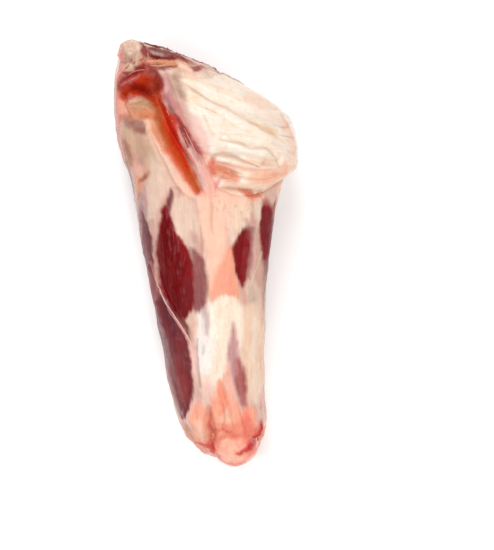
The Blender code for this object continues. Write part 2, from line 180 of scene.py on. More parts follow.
# The bone's rings: x, y, z, half width and half height in millimetres, from the elbow tip to the knuckle
BONE = (
    (-26.6, 101.4, 37.0, 6.8, 6.4),
    (-25.8, 95.0, 37.6, 7.4, 7.0),
    (-24.8, 88.0, 35.0, 7.4, 7.0),
    (-24.0, 80.5, 34.5, 7.2, 7.0),
    (-23.4, 74.5, 39.5, 7.2, 9.0),
    (-22.8, 68.5, 41.5, 7.4, 9.6),
    (-20.4, 61.0, 38.0, 7.6, 8.4),
    (-15.4, 49.0, 34.0, 8.0, 8.0),
    (-10.7, 32.3, 30.0, 8.0, 8.0),
    (-6.6, 15.5, 27.0, 7.6, 7.6),
    (-3.8, -5.8, 25.0, 7.0, 7.0),
    (-1.0, -27.0, 23.0, 7.0, 7.0),
    (0.7, -45.9, 21.5, 7.2, 7.2),
    (1.6, -64.7, 20.5, 8.0, 8.0),
    (3.4, -78.0, 20.0, 9.4, 10.0),
    (4.6, -88.0, 20.0, 10.8, 12.4),
    (5.2, -96.0, 19.5, 10.4, 12.0),
    (4.8, -101.2, 19.0, 9.2, 11.0),
)
ELBOW_DOME = 0.0065
KNUCKLE_DOME = 0.0095
KNUCKLE_NOTCH = 0.15
KNUCKLE_NOTCH_FROM = -0.082
KNUCKLE_NOTCH_LENGTH = 0.012
NOTCH_SPREAD = 24.0

# How finely curves are read, and the steps over which directions are measured
SPLINE_SAMPLES = 2400
STEP_AROUND = 0.6
STEP_SHARE = 0.002
TINY = 1e-12

# ---- How finely the pieces are made ----
MEAT_RIBS, MEAT_COLUMNS = 386, 254
FAT_RINGS, FAT_SPOKES = 150, 420
BONE_RINGS, BONE_COLUMNS = 220, 96
# Columns and ribs crowd round a middle, over a spread, by a strength
CROWDED_AROUND, CROWDED_SPREAD, CROWDED_COLUMNS = 104.0, 68.0, 1.3
CROWDED_SHARE, CROWDED_LENGTH, CROWDED_RIBS = 0.88, 0.10, 0.7

# ---- Tissues ----
# Red, green and blue as they look in the photograph's light (0 to 255), then how fibrous, how fatty and
# how torn the surface is (0 to 1)
TISSUES = {
    "fascia": (226, 188, 168, 0.30, 0.2, 0.0),
    "fascia_light": (232, 200, 180, 0.30, 0.2, 0.0),
    "greige": (212, 174, 146, 0.30, 0.2, 0.0),
    "taupe": (172, 124, 110, 0.40, 0.1, 0.1),
    "umber": (150, 96, 82, 0.40, 0.0, 0.2),
    "brown": (192, 126, 98, 0.30, 0.1, 0.1),
    "olive": (202, 174, 144, 0.30, 0.3, 0.0),
    "lilac": (186, 150, 148, 0.40, 0.1, 0.0),
    "lilac_pink": (200, 146, 140, 0.30, 0.2, 0.0),
    "mauve": (164, 112, 114, 0.50, 0.0, 0.0),
    "rose": (226, 142, 134, 0.20, 0.2, 0.1),
    "rose_beige": (212, 162, 150, 0.30, 0.2, 0.0),
    "pink": (240, 190, 180, 0.25, 0.3, 0.0),
    "blush": (248, 180, 162, 0.20, 0.4, 0.0),
    "ivory": (255, 242, 226, 0.10, 0.8, 0.0),
    "pad": (254, 239, 222, 0.10, 1.0, 0.0),
    "cream": (254, 230, 208, 0.20, 0.5, 0.0),
    "sand": (252, 216, 188, 0.20, 0.5, 0.0),
    "gold": (244, 206, 164, 0.10, 0.7, 0.0),
    "tan": (224, 184, 154, 0.20, 0.5, 0.0),
    # Pale silver skin, lightened further by a painted highlight where the glare falls
    "silver_skin_glare": (246, 234, 226, 0.15, 0.1, 0.0),
    "grey": (176, 158, 152, 0.30, 0.0, 0.1),
    "peach": (254, 202, 176, 0.20, 0.4, 0.0),
    "apricot": (252, 194, 162, 0.20, 0.6, 0.0),
    "salmon": (252, 168, 140, 0.20, 0.3, 0.0),
    "coral_light": (252, 150, 122, 0.10, 0.4, 0.1),
    "coral": (250, 128, 108, 0.10, 0.4, 0.2),
    "crimson": (222, 74, 74, 0.10, 0.1, 0.5),
    "blood": (204, 28, 14, 0.00, 0.0, 0.4),
    "muscle": (112, 0, 4, 1.00, 0.0, 0.0),
    "muscle_red": (134, 16, 22, 1.00, 0.0, 0.0),
    "muscle_brown": (124, 46, 46, 1.00, 0.0, 0.0),
    "muscle_plum": (122, 48, 54, 0.90, 0.0, 0.0),
    "muscle_dark": (96, 40, 46, 0.90, 0.0, 0.0),
    "muscle_mauve": (146, 80, 80, 0.80, 0.0, 0.0),
    "muscle_pale": (204, 150, 150, 0.60, 0.0, 0.0),
    "rosewood": (174, 92, 86, 0.80, 0.0, 0.0),
    "cut_muscle": (132, 78, 80, 0.50, 0.0, 0.6),
    "cut_end": (150, 48, 50, 0.50, 0.0, 0.2),
    "cut_end_dark": (122, 28, 34, 0.50, 0.0, 0.2),
    "cut_end_brown": (140, 58, 52, 0.50, 0.0, 0.3),
    "seam": (226, 178, 160, 0.10, 0.4, 0.2),
    "seam_red": (128, 44, 44, 0.30, 0.0, 0.3),
    "brick": (156, 64, 58, 0.30, 0.0, 1.0),
    "maroon": (124, 28, 26, 0.30, 0.0, 0.9),
    "shred": (212, 112, 104, 0.20, 0.1, 0.8),
    "hollow": (196, 52, 16, 0.10, 0.0, 0.6),
    "hollow_dark": (146, 20, 4, 0.10, 0.0, 0.6),
    "scarlet": (204, 40, 18, 0.20, 0.0, 0.4),
    "rust": (216, 82, 38, 0.20, 0.0, 0.3),
    "ember": (226, 112, 84, 0.10, 0.2, 0.3),
    "orange": (196, 104, 60, 0.10, 0.1, 0.4),
    "amber": (228, 150, 110, 0.10, 0.3, 0.2),
    "lump": (208, 158, 122, 0.00, 0.3, 0.2),
    "bone": (224, 190, 166, 0.00, 0.3, 0.2),
    "gristle": (252, 180, 152, 0.00, 0.4, 0.1),
}

# Paint on the sides that the photograph doesn't show, from the lowest layer up: tissue, strength, softness
# of the edge in millimetres, and places (around, share, half width in millimetres)
HIDDEN_PAINT = (
    ("greige", 0.8, 8.0, ((176, 0.86, 8), (180, 0.76, 8), (178, 0.66, 5))),
    ("taupe", 0.6, 6.0, ((178, 0.84, 3), (182, 0.80, 6), (180, 0.74, 4))),
    ("sand", 0.8, 9.0, ((246, 0.88, 12), (258, 0.70, 8), (266, 0.50, 7), (262, 0.25, 7))),
    ("cream", 0.8, 6.0, ((330, 0.70, 7), (336, 0.50, 5), (334, 0.30, 5), (340, 0.14, 5))),
    ("sand", 0.8, 6.0, ((4, 0.42, 6), (2, 0.30, 8), (6, 0.16, 6))),
    # The left side
    ("muscle_mauve", 0.95, 4.0,
     ((180, 0.62, 1), (184, 0.54, 6), (184, 0.44, 9), (183, 0.34, 10), (182, 0.24, 9), (181, 0.16, 5),
      (180, 0.11, 1))),
    ("muscle_plum", 0.9, 6.0,
     ((180, 0.52, 2), (181, 0.44, 6), (181, 0.33, 8), (181, 0.22, 6), (180, 0.14, 2))),
    ("muscle_red", 0.5, 6.0, ((184, 0.48, 2), (186, 0.40, 4), (186, 0.30, 4), (184, 0.22, 2))),
    ("lilac", 0.6, 4.0,
     ((176, 0.60, 0.4), (184, 0.52, 2.4), (191, 0.43, 1.2), (194, 0.32, 2.6), (190, 0.20, 0.4))),
    ("muscle_mauve", 0.95, 4.0,
     ((204, 0.87, 3), (209, 0.77, 9), (217, 0.56, 12), (227, 0.36, 9), (236, 0.18, 3))),
    ("muscle_brown", 0.9, 5.0, ((207, 0.82, 3), (213, 0.70, 8), (220, 0.50, 9), (230, 0.30, 4))),
    ("muscle", 0.8, 7.0, ((212, 0.68, 4), (218, 0.55, 5), (224, 0.42, 3))),
    ("fascia_light", 0.55, 5.0,
     ((199, 0.85, 0.6), (205, 0.75, 3.2), (204, 0.63, 1.4), (210, 0.50, 2.6), (214, 0.38, 0.4))),
    ("rose", 0.5, 6.0, ((180, 0.955, 6), (186, 0.90, 6), (190, 0.84, 4))),
    ("rosewood", 0.9, 4.0, ((182, 0.90, 1), (187, 0.87, 4), (195, 0.84, 4), (200, 0.80, 1))),
    ("brick", 0.8, 4.0, ((184, 0.945, 1), (192, 0.935, 3.4), (204, 0.930, 3), (214, 0.925, 1))),
    ("cream", 0.7, 3.0, ((188, 0.965, 1), (194, 0.955, 2), (206, 0.952, 2), (220, 0.950, 1))),
    # The right side
    ("muscle_mauve", 0.95, 4.0,
     ((316, 0.66, 4), (310, 0.52, 10), (306, 0.38, 10), (304, 0.24, 6), (306, 0.13, 2))),
    ("muscle_red", 0.9, 5.0, ((312, 0.60, 3), (308, 0.46, 8), (305, 0.30, 5))),
    ("lilac_pink", 0.6, 5.0, ((330, 0.62, 2), (326, 0.50, 5), (322, 0.36, 5), (322, 0.22, 2))),
    ("muscle_mauve", 0.95, 3.0, ((17, 0.625, 2), (13, 0.59, 7), (8, 0.53, 9), (8, 0.47, 7), (12, 0.42, 2))),
    ("muscle_red", 0.95, 4.0, ((17, 0.61, 1), (13, 0.575, 5), (9, 0.52, 7), (10, 0.46, 3))),
    ("lilac_pink", 0.8, 2.4, ((2, 0.60, 0.5), (4, 0.55, 1.0), (8, 0.49, 1.2), (12, 0.43, 0.5))),
    ("rose_beige", 0.7, 6.0, ((352, 0.66, 3), (350, 0.52, 5), (352, 0.40, 4), (354, 0.28, 3))),
    ("muscle_pale", 0.7, 6.0, ((8, 0.34, 2), (4, 0.27, 5), (4, 0.20, 4), (8, 0.14, 1))),
    # The rim above the elbow's cut face
    ("rosewood", 0.75, 4.0,
     ((48, 0.968, 1), (66, 0.976, 2.6), (92, 0.982, 3.0), (112, 0.982, 2.0), (124, 0.976, 0.6))),
    ("cream", 0.7, 2.4,
     ((40, 0.960, 0.4), (62, 0.966, 1.4), (86, 0.972, 0.8), (108, 0.972, 1.6), (126, 0.966, 0.4))),
    ("maroon", 0.7, 2.0, ((70, 0.984, 0.3), (84, 0.988, 1.2), (100, 0.989, 0.8), (116, 0.986, 0.3))),
    ("crimson", 0.5, 2.4, ((62, 0.960, 0.4), (48, 0.966, 1.2), (32, 0.962, 1.0), (16, 0.956, 0.4))),
    # Round the knuckle
    ("salmon", 0.9, 7.0,
     ((350, 0.050, 9), (310, 0.040, 9), (260, 0.040, 9), (210, 0.040, 9), (165, 0.060, 9),
      (140, 0.060, 7))),
    ("coral", 0.7, 5.0, ((350, 0.020, 5), (300, 0.012, 4), (230, 0.014, 5), (180, 0.030, 4))),
    ("crimson", 0.6, 3.0, ((200, 0.060, 1), (214, 0.045, 2.4), (232, 0.050, 1.6), (250, 0.035, 1))),
)

# Paint on the side of the fat pad, likewise
PAD_SIDE_PAINT = (
    ("sand", 0.6, 6.0,
     ((16, 0.955, 3), (-20, 0.905, 4), (-31, 0.850, 4), (-32, 0.790, 4), (-22, 0.735, 4), (0, 0.690, 4))),
    ("peach", 0.6, 7.0, ((20, 0.90, 2), (4, 0.87, 4), (-12, 0.84, 5), (-22, 0.79, 3))),
    ("blush", 0.6, 6.0, ((10, 0.72, 3), (-4, 0.74, 4), (-14, 0.76, 3))),
    # Thin tan lines across the pad's side: painted shade of its folds
    ("tan", 0.55, 3.0, ((24, 0.86, 0.5), (6, 0.84, 1.4), (-10, 0.81, 1.8), (-22, 0.80, 0.5))),
    ("tan", 0.45, 3.0, ((18, 0.78, 0.4), (0, 0.77, 1.2), (-16, 0.765, 1.4), (-26, 0.77, 0.4))),
    ("rose", 0.35, 3.0, ((14, 0.93, 0.4), (-4, 0.905, 1.4), (-18, 0.875, 1.0), (-26, 0.84, 0.3))),
)

# Paint as seen from above, from the lowest layer up: tissue, strength, softness of the edge, and places
# (column, row, half width), all in pixels of the photograph
SEEN_PAINT = (
    # The middle of the shank, from the fat pad to the knuckle
    ("peach", 0.9, 10, ((214, 204, 16), (214, 226, 14), (217, 248, 11), (216, 268, 8))),
    ("fascia_light", 0.9, 9, ((180, 204, 9), (187, 220, 11), (194, 238, 8), (198, 252, 4))),
    ("sand", 0.7, 8, ((238, 208, 10), (244, 216, 8), (236, 222, 7))),
    ("lilac_pink", 0.6, 6, ((192, 232, 2), (197, 244, 4), (201, 258, 3))),
    ("brown", 0.6, 4, ((200, 224, 0.5), (202, 240, 1.6), (203, 258, 0.5))),
    ("tan", 0.5, 5, ((212, 198, 2), (211, 212, 2), (212, 226, 2))),
    ("rose_beige", 0.85, 6,
     ((252, 214, 2), (255, 232, 3.6), (256, 255, 4.4), (258, 272, 4), (261, 284, 3))),
    ("pink", 0.6, 4, ((253, 222, 1), (254, 240, 2), (254, 262, 1.6), (253, 276, 1))),
    ("tan", 0.5, 4, ((260, 250, 1), (258, 262, 1.6), (256, 272, 1))),
    ("salmon", 0.95, 7, ((231, 248, 3), (229, 264, 8), (224, 280, 14), (224, 290, 15))),
    ("peach", 0.7, 6, ((212, 258, 3), (213, 272, 4), (211, 286, 2))),
    ("cream", 1.0, 5, ((226, 313, 17), (227, 330, 18), (223, 348, 17), (216, 364, 13), (210, 378, 8))),
    ("ivory", 0.8, 9, ((212, 308, 4), (213, 330, 5), (212, 350, 5), (208, 368, 4))),
    ("tan", 0.35, 5, ((219, 300, 1), (220, 309, 2), (219, 318, 1))),
    ("tan", 0.30, 5, ((217, 342, 1), (217, 358, 2), (218, 372, 1))),
    ("fascia_light", 0.8, 6, ((252, 284, 4), (253, 296, 6), (255, 306, 6))),
    ("olive", 0.5, 5, ((252, 288, 2), (253, 300, 2.6))),
    ("rose", 0.5, 5, ((243, 288, 1), (243, 298, 2), (246, 302, 2))),
    ("sand", 0.95, 8, ((252, 312, 9), (254, 340, 11), (255, 372, 11), (256, 394, 9))),
    ("ivory", 0.5, 6, ((254, 318, 2), (254, 340, 3), (253, 360, 2))),
    ("apricot", 0.55, 6, ((250, 322, 1.6), (250, 344, 2.6))),
    ("apricot", 0.6, 6, ((260, 348, 2), (261, 372, 3), (258, 388, 2))),
    ("pink", 0.3, 6, ((252, 376, 2), (254, 390, 3.6), (254, 404, 3))),
    # Pale silver skin with a painted highlight: the glare on the fascia is painted into its colour here
    ("silver_skin_glare", 0.95, 7, ((202, 312, 5), (203, 332, 7), (203, 352, 7.6), (203, 370, 6))),
    ("lilac", 0.6, 5, ((202, 302, 4), (206, 316, 3.4), (206, 334, 2))),
    ("lilac_pink", 0.5, 7, ((196, 376, 3), (199, 390, 4), (200, 404, 3))),
    ("pink", 0.7, 7, ((207, 378, 3), (208, 392, 5), (208, 404, 4))),
    ("grey", 0.6, 2, ((197, 338, 0.7), (197, 358, 1.0), (198, 376, 1.5), (200, 388, 0.7))),
    ("grey", 0.45, 2, ((204, 345, 0.6), (204, 350, 1.2), (203, 354, 0.5))),
    # The left shoulder
    ("greige", 0.95, 9, ((126, 128, 6), (139, 142, 9), (143, 152, 10), (147, 164, 8))),
    ("fascia_light", 0.9, 9, ((156, 156, 6), (158, 172, 9), (156, 190, 9), (152, 206, 6), (153, 222, 3))),
    ("rose_beige", 0.7, 7, ((134, 158, 3), (141, 164, 4), (146, 172, 3))),
    ("olive", 0.6, 6, ((150, 148, 3), (156, 156, 4), (161, 163, 3))),
    ("olive", 0.6, 6, ((174, 178, 4), (180, 184, 3))),
    ("brown", 0.9, 6, ((121, 132, 2), (124, 142, 4), (128, 152, 4.4), (131, 164, 3))),
    ("umber", 0.6, 4, ((124, 140, 1.2), (128, 150, 2.2), (131, 158, 1.2))),
    # Grey down the left edge: painted shade where the shank turns away
    ("grey", 0.6, 5, ((121, 150, 1), (126, 162, 2.4), (131, 176, 2.4), (135, 192, 2.4), (138, 204, 2.4))),
    ("taupe", 0.95, 6, ((122, 120, 4), (130, 123, 6), (138, 127, 7), (146, 131, 4.4))),
    ("umber", 0.8, 4, ((128, 118, 1.4), (131, 121, 3), (133, 125, 1.4))),
    ("umber", 0.75, 4, ((136, 129, 1.4), (142, 130, 2.6), (148, 131, 1.6))),
    ("greige", 0.8, 5, ((121, 122, 2), (122, 130, 3), (124, 136, 2))),
    ("blush", 0.6, 6, ((137, 166, 4), (139, 174, 4), (138, 190, 3))),
    ("amber", 0.8, 5, ((138, 177, 2), (139, 187, 3.8), (138, 195, 2))),
    ("brown", 0.9, 4, ((140, 182, 1), (144, 178, 2.6), (149, 172, 1.6))),
    ("brick", 0.6, 4, ((142, 181, 1), (145, 177, 1.8))),
    ("lilac", 0.85, 6, ((140, 196, 3), (144, 205, 6), (148, 213, 4))),
    ("taupe", 0.4, 7, ((139, 140, 4), (142, 150, 5), (141, 160, 4))),
    ("lilac_pink", 0.8, 6, ((146, 186, 3), (146, 196, 4), (148, 206, 3))),
    # The windows through which the muscles show: their pale rims, then the muscles, with painted shade and a
    # painted sheen down the shank's edges
    ("rose_beige", 0.6, 6,
     ((170, 196, 5), (164, 216, 8), (166, 240, 14), (176, 266, 21), (182, 290, 18), (180, 312, 9))),
    # Down the left edge: muscle showing through, darkened further by painted shade where the shank turns away
    ("mauve", 0.9, 5,
     ((139, 206, 2), (142, 220, 5), (146, 238, 6.6), (148, 256, 6.4), (152, 276, 6), (159, 300, 9))),
    ("muscle_dark", 0.9, 5, ((142, 214, 1), (146, 228, 3), (149, 242, 4), (151, 254, 2.6), (152, 262, 1))),
    ("muscle_mauve", 0.85, 5, ((149, 260, 2), (153, 276, 4), (158, 294, 5))),
    ("muscle_plum", 0.75, 5, ((143, 228, 3), (145, 244, 5), (148, 258, 5), (150, 270, 3))),
    ("fascia_light", 0.85, 4, ((148, 186, 2), (151, 204, 4), (152, 222, 2.4), (154, 236, 1.6))),
    ("rose_beige", 0.9, 4,
     ((151, 222, 2.6), (154, 240, 2.6), (155, 254, 2), (155, 268, 1.5), (158, 284, 1))),
    ("muscle_mauve", 0.95, 6,
     ((192, 250, 2), (199, 264, 6), (200, 280, 7.4), (200, 296, 7.4), (197, 306, 6))),
    ("muscle_mauve", 0.95, 4, ((171, 189, 0.8), (171, 197, 3), (168, 206, 4), (165, 213, 4.6))),
    ("muscle_dark", 0.6, 3, ((171, 191, 0.8), (171, 199, 1.8), (168, 206, 2))),
    ("muscle_red", 1.0, 4,
     ((165, 208, 2.4), (166, 225, 6.8), (168, 240, 11), (172, 255, 16), (176, 270, 18), (177, 285, 17),
      (180, 300, 14), (180, 309, 10), (179, 316, 4.4))),
    ("muscle", 1.0, 8,
     ((165, 214, 2), (165, 230, 6), (167, 245, 9), (170, 258, 12), (172, 272, 12), (173, 286, 9),
      (175, 298, 6), (177, 308, 4))),
    ("muscle_dark", 0.35, 8, ((186, 282, 5), (187, 296, 6), (184, 308, 5))),
    ("muscle_brown", 0.9, 5, ((178, 314, 2.4), (182, 322, 3.4), (186, 332, 3), (189, 342, 1.2))),
    ("muscle_plum", 1.0, 5,
     ((160, 306, 7), (167, 322, 11), (174, 340, 13), (178, 358, 12.6), (181, 376, 11.5), (183, 392, 10),
      (184, 405, 7), (184, 414, 4), (183, 420, 1.6))),
    ("muscle_dark", 0.8, 5, ((160, 298, 2.4), (166, 308, 5), (170, 320, 5), (174, 334, 3.4))),
    ("muscle_red", 0.45, 8, ((178, 366, 4), (182, 384, 6), (183, 400, 5))),
    ("rosewood", 0.3, 8, ((176, 360, 4), (180, 378, 6), (183, 398, 5))),
    ("muscle_brown", 0.5, 6, ((180, 345, 3), (184, 358, 4), (182, 372, 4))),
    # Mauve down the left edge beside the lower muscle: partly the membrane's own colour, partly a painted
    # sheen
    ("mauve", 0.7, 5,
     ((152, 300, 1.4), (157, 322, 3), (162, 348, 4), (166, 374, 4), (172, 398, 3.6), (180, 416, 3))),
    ("muscle_mauve", 0.8, 5, ((250, 229, 4), (250, 246, 3), (250, 262, 3), (248, 276, 2.4))),
    ("muscle_red", 1.0, 4,
     ((246, 233, 4.6), (243, 242, 7.8), (241.5, 250, 8.8), (242, 262, 7), (242, 274, 5.4),
      (243, 286, 1.8))),
    ("muscle_mauve", 0.5, 5, ((250, 230, 3), (251, 240, 2))),
    ("lilac_pink", 0.6, 5, ((246, 220, 2), (250, 224, 3), (254, 222, 2))),
    ("rosewood", 0.9, 5, ((264, 199, 3), (267, 207, 5), (269, 214, 7))),
    ("muscle_red", 1.0, 5,
     ((267, 211, 5), (269, 222, 9), (269, 236, 9), (268, 250, 7), (267, 262, 5), (267, 272, 3))),
    ("muscle", 0.5, 5, ((274, 214, 2), (273, 226, 2.4), (270, 240, 2))),
    ("muscle_brown", 0.5, 5, ((265, 216, 3), (266, 232, 3))),
    # Taupe down the right edge: painted shade where the shank turns away
    ("taupe", 0.7, 5, ((263, 262, 2), (265, 276, 3), (265, 290, 2), (265, 306, 1))),
    ("muscle_pale", 0.95, 6,
     ((234, 324, 1.2), (234, 340, 4), (233, 352, 6), (235, 364, 7), (238, 378, 7), (241, 392, 5),
      (243, 404, 2))),
    ("rosewood", 0.9, 6, ((239, 360, 2), (241, 374, 5), (242, 386, 5.4), (244, 398, 3.6), (244.5, 408, 1))),
    ("muscle_red", 0.3, 5, ((243, 372, 1), (244, 380, 2.6), (245, 390, 2))),
    # The white strands over them
    ("lilac_pink", 0.7, 2,
     ((150, 262, 0.7), (154, 276, 0.9), (160, 291, 1.0), (166, 303, 1.0), (172, 315, 0.9))),
    ("pink", 0.7, 2, ((172, 315, 0.4), (181, 327, 0.6), (189, 339, 0.9), (195, 347, 1.4))),
    ("pink", 0.8, 5, ((189, 343, 1.4), (193, 352, 3.2), (195, 364, 3), (196, 378, 2.4))),
    # Round the knuckle
    ("salmon", 0.95, 8, ((198, 412, 8), (204, 424, 13), (214, 436, 12))),
    ("salmon", 0.95, 9, ((222, 392, 6), (224, 408, 14), (228, 428, 20), (232, 448, 22))),
    ("salmon", 0.95, 8, ((250, 412, 6), (252, 426, 10), (250, 446, 12))),
    ("peach", 0.8, 6, ((199, 424, 5), (202, 434, 5))),
    ("sand", 0.6, 6, ((224, 408, 4), (226, 420, 5))),
    ("cream", 0.6, 6, ((257, 366, 3), (257, 386, 5), (257, 402, 3))),
    ("blush", 0.7, 6, ((229, 364, 2), (227, 378, 4), (231, 392, 4), (236, 404, 3))),
    ("coral_light", 0.85, 5, ((219, 381, 2), (221, 393, 4), (223, 405, 3.6), (221, 414, 2))),
    ("coral_light", 0.8, 6, ((228, 428, 6), (238, 432, 8), (244, 420, 4))),
    ("coral", 0.8, 6, ((246, 410, 2), (248, 424, 4.6), (251, 436, 6.6), (247, 445, 5))),
    ("coral", 0.6, 4, ((228, 433, 5), (236, 437, 4))),
    ("pink", 0.8, 5, ((261, 396, 2), (261, 410, 3), (259, 422, 3))),
    ("rose", 0.7, 3, ((262, 402, 1), (262, 410, 1.6))),
    ("pink", 0.8, 3, ((182, 424, 1.6), (187, 418, 1.6), (192, 408, 1.4), (195, 400, 1))),
    ("rose_beige", 0.7, 5, ((184, 426, 3), (188, 436, 3.4), (194, 444, 2.4))),
    ("taupe", 0.5, 3, ((186, 427, 0.8), (190, 436, 1.4), (196, 443, 0.8))),
    ("peach", 0.2, 6, ((226, 440, 6), (227, 450, 8), (236, 451, 6))),
    ("coral_light", 0.6, 4, ((222, 460, 2), (232, 463, 2.4), (246, 460, 2))),
    ("crimson", 0.4, 3, ((211, 414, 0.8), (210, 426, 1.6), (211, 438, 1.6), (213, 447, 1.6))),
    ("crimson", 0.85, 4, ((198, 443, 1.2), (204, 445, 2.4), (210, 446, 3), (214, 452, 1.6), (219, 458, 1))),
    ("crimson", 0.6, 3, ((214, 432, 2.4), (217, 430, 1.6))),
    ("coral", 0.8, 5, ((250, 452, 4), (256, 450, 3))),
    ("crimson", 0.75, 5, ((250, 445, 2), (255, 439, 3.6), (259, 430, 2.8), (261, 421, 1))),
    # Coral along the knuckle's lower left rim: painted shade, a red shaded edge
    ("coral", 0.8, 4, ((193, 446, 1.6), (200, 452, 2.6), (208, 456, 2.6), (217, 462, 2))),
    ("blood", 1.0, 3,
     ((237, 454, 1.2), (242, 452, 2.0), (249, 448, 2.8), (254, 444, 2.8), (258, 438, 2.2), (261, 430, 1.6),
      (262, 422, 0.8))),
    ("crimson", 0.5, 3, ((213, 447, 0.8), (215, 438, 1.2), (221, 431, 1.2), (230, 430, 0.6))),
    ("coral", 0.6, 4, ((216, 452, 1.4), (218, 443, 2.4), (224, 437, 2))),
    # Crimson along the knuckle's lower rim: painted shade, continuing the shaded edge
    ("crimson", 0.5, 2, ((224, 462, 0.6), (234, 465, 1.0), (246, 462, 0.8))),
    ("peach", 0.6, 5, ((222, 452, 2), (228, 458, 4), (240, 458, 3))),
    # The groove with its banks
    ("lilac_pink", 0.9, 6,
     ((172, 106, 4), (180, 118, 6), (188, 130, 6), (194, 142, 7), (199, 156, 6), (204, 170, 6),
      (206, 182, 4))),
    ("peach", 1.0, 5,
     ((146, 119, 3), (149, 124, 4), (151, 133, 4), (155, 143, 5), (161, 153, 5), (167, 163, 5),
      (174, 175, 5), (182, 187, 5), (190, 196, 4))),
    ("fascia_light", 0.6, 5, ((160, 152, 3), (166, 163, 3), (173, 175, 3), (180, 187, 3))),
    ("lilac_pink", 0.6, 4, ((175, 187, 1.6), (180, 192, 2.6), (178, 197, 1.6))),
    ("ember", 0.9, 6,
     ((158, 106, 4), (160, 118, 6), (164, 130, 8), (169, 142, 8), (176, 154, 8), (184, 167, 7),
      (191, 180, 6), (197, 190, 4.4))),
    ("amber", 0.8, 5, ((153, 114, 3), (155, 124, 4), (158, 134, 4), (164, 146, 2))),
    ("rust", 1.0, 5,
     ((161, 110, 4), (165, 122, 6), (169, 134, 7), (175, 147, 7), (181, 159, 6), (187, 171, 5),
      (193, 182, 4), (198, 190, 2.6))),
    ("scarlet", 0.95, 5,
     ((162, 104, 2), (167, 113, 4), (172, 123, 5.8), (174, 134, 5), (178, 145, 3.6), (183, 156, 2),
      (188, 166, 1))),
    ("orange", 0.6, 5, ((158, 122, 2), (163, 136, 3), (168, 148, 2))),
    ("orange", 0.6, 5, ((190, 176, 2.6), (195, 185, 3), (198, 191, 2))),
    ("rose", 0.9, 4,
     ((176, 112, 1.6), (182, 121, 2.6), (188, 132, 2.6), (196, 142, 3), (201, 150, 3), (204, 158, 2))),
    ("scarlet", 0.7, 4, ((172, 112, 1.6), (178, 120, 2.8), (183, 129, 2.4), (186, 136, 1))),
    ("brick", 0.95, 3, ((174, 114, 0.8), (181, 124, 1.8), (187, 134, 2), (192, 144, 1.6), (199, 154, 0.8))),
    ("maroon", 0.7, 2, ((181, 126, 0.6), (186, 135, 1.0), (191, 144, 0.6))),
    ("rosewood", 0.9, 4, ((195, 142, 1.6), (199, 150, 2.2), (203, 159, 1.2))),
    ("rosewood", 0.9, 3, ((184, 148, 0.8), (188, 156, 1.8), (193, 164, 1))),
    ("brick", 0.9, 3, ((180, 128, 1.4), (184, 137, 2.4), (188, 146, 1.8))),
    ("blush", 0.9, 2,
     ((181, 138, 0.4), (185, 147, 0.8), (190, 156, 1.2), (195, 165, 1.4), (199, 172, 1.2))),
    ("rose", 0.6, 3, ((182, 142, 0.6), (187, 152, 1), (193, 164, 0.8))),
    ("pink", 0.8, 5, ((198, 164, 3), (203, 176, 4), (207, 186, 4))),
    ("lilac_pink", 0.95, 6, ((166, 76, 4), (168, 88, 6), (170, 98, 6), (176, 108, 5))),
    ("mauve", 0.4, 6, ((164, 80, 3), (166, 90, 4.4), (168, 98, 4.4), (172, 106, 3))),
    ("pink", 0.7, 5, ((163, 77, 2), (165, 84, 2.6), (166, 90, 1.6))),
    ("mauve", 0.8, 4, ((165, 97, 1.6), (167, 101, 3), (170, 106, 1.4))),
    ("umber", 0.9, 4, ((170, 106, 1.2), (172, 110, 3), (174, 114, 1.4))),
    ("rose", 0.8, 5, ((173, 99, 1.6), (177, 107, 3), (181, 115, 2))),
    ("mauve", 0.35, 5, ((173, 101, 2), (178, 109, 3.4), (182, 117, 2))),
    # The elbow: joint hollow, torn edge, tip and cut muscle
    ("rose", 0.9, 6,
     ((121, 50, 2), (120, 60, 4), (118, 74, 5), (117, 88, 5), (117, 98, 5), (118, 110, 5), (116, 124, 4))),
    ("salmon", 0.9, 7, ((121, 92, 3), (123, 102, 5), (124, 112, 5), (132, 116, 4))),
    ("brown", 0.7, 4, ((120, 116, 1.6), (126, 117, 2.4), (132, 118, 2))),
    ("brick", 1.0, 6, ((121, 86, 5), (134, 78, 9), (147, 74, 11), (156, 84, 9))),
    ("shred", 0.8, 5, ((121, 80, 2), (124, 74, 3.4), (127, 68, 2.4))),
    ("rosewood", 0.8, 5, ((138, 63, 2), (144, 62, 3.4), (149, 66, 3))),
    ("maroon", 0.9, 4, ((125, 73, 1), (134, 73, 2.6), (141, 71, 2.4))),
    ("maroon", 0.8, 4, ((122, 82, 1.6), (129, 78, 3), (135, 77, 1.6))),
    ("maroon", 0.9, 4, ((140, 67, 1.6), (143, 64, 2.6))),
    ("umber", 0.6, 5, ((144, 75, 2), (149, 76, 3), (153, 74, 2))),
    ("hollow", 1.0, 8, ((124, 95, 5), (131, 89, 9), (141, 86, 12), (150, 89, 11), (157, 97, 7))),
    ("hollow_dark", 0.9, 6, ((134, 86, 4), (139, 88, 4), (145, 92, 5), (148, 96, 3))),
    ("rosewood", 0.4, 6, ((151, 83, 3), (154, 90, 4), (156, 97, 3))),
    ("maroon", 0.5, 5, ((158, 77, 2), (161, 84, 2.4), (161, 90, 1))),
    ("rust", 0.8, 5, ((153, 86, 1.8), (156, 92, 3.2), (157, 99, 3))),
    ("orange", 1.0, 6, ((151, 101, 4), (155, 108, 5.4), (157, 117, 5))),
    ("amber", 1.0, 6, ((128, 104, 3), (134, 108, 6), (142, 112, 8), (150, 112, 5))),
    ("lump", 1.0, 5, ((134, 106, 3), (142, 104, 5.4), (148, 106, 4))),
    ("hollow", 0.9, 5, ((125, 97, 2.4), (130, 97, 2.6), (135, 96, 1.6))),
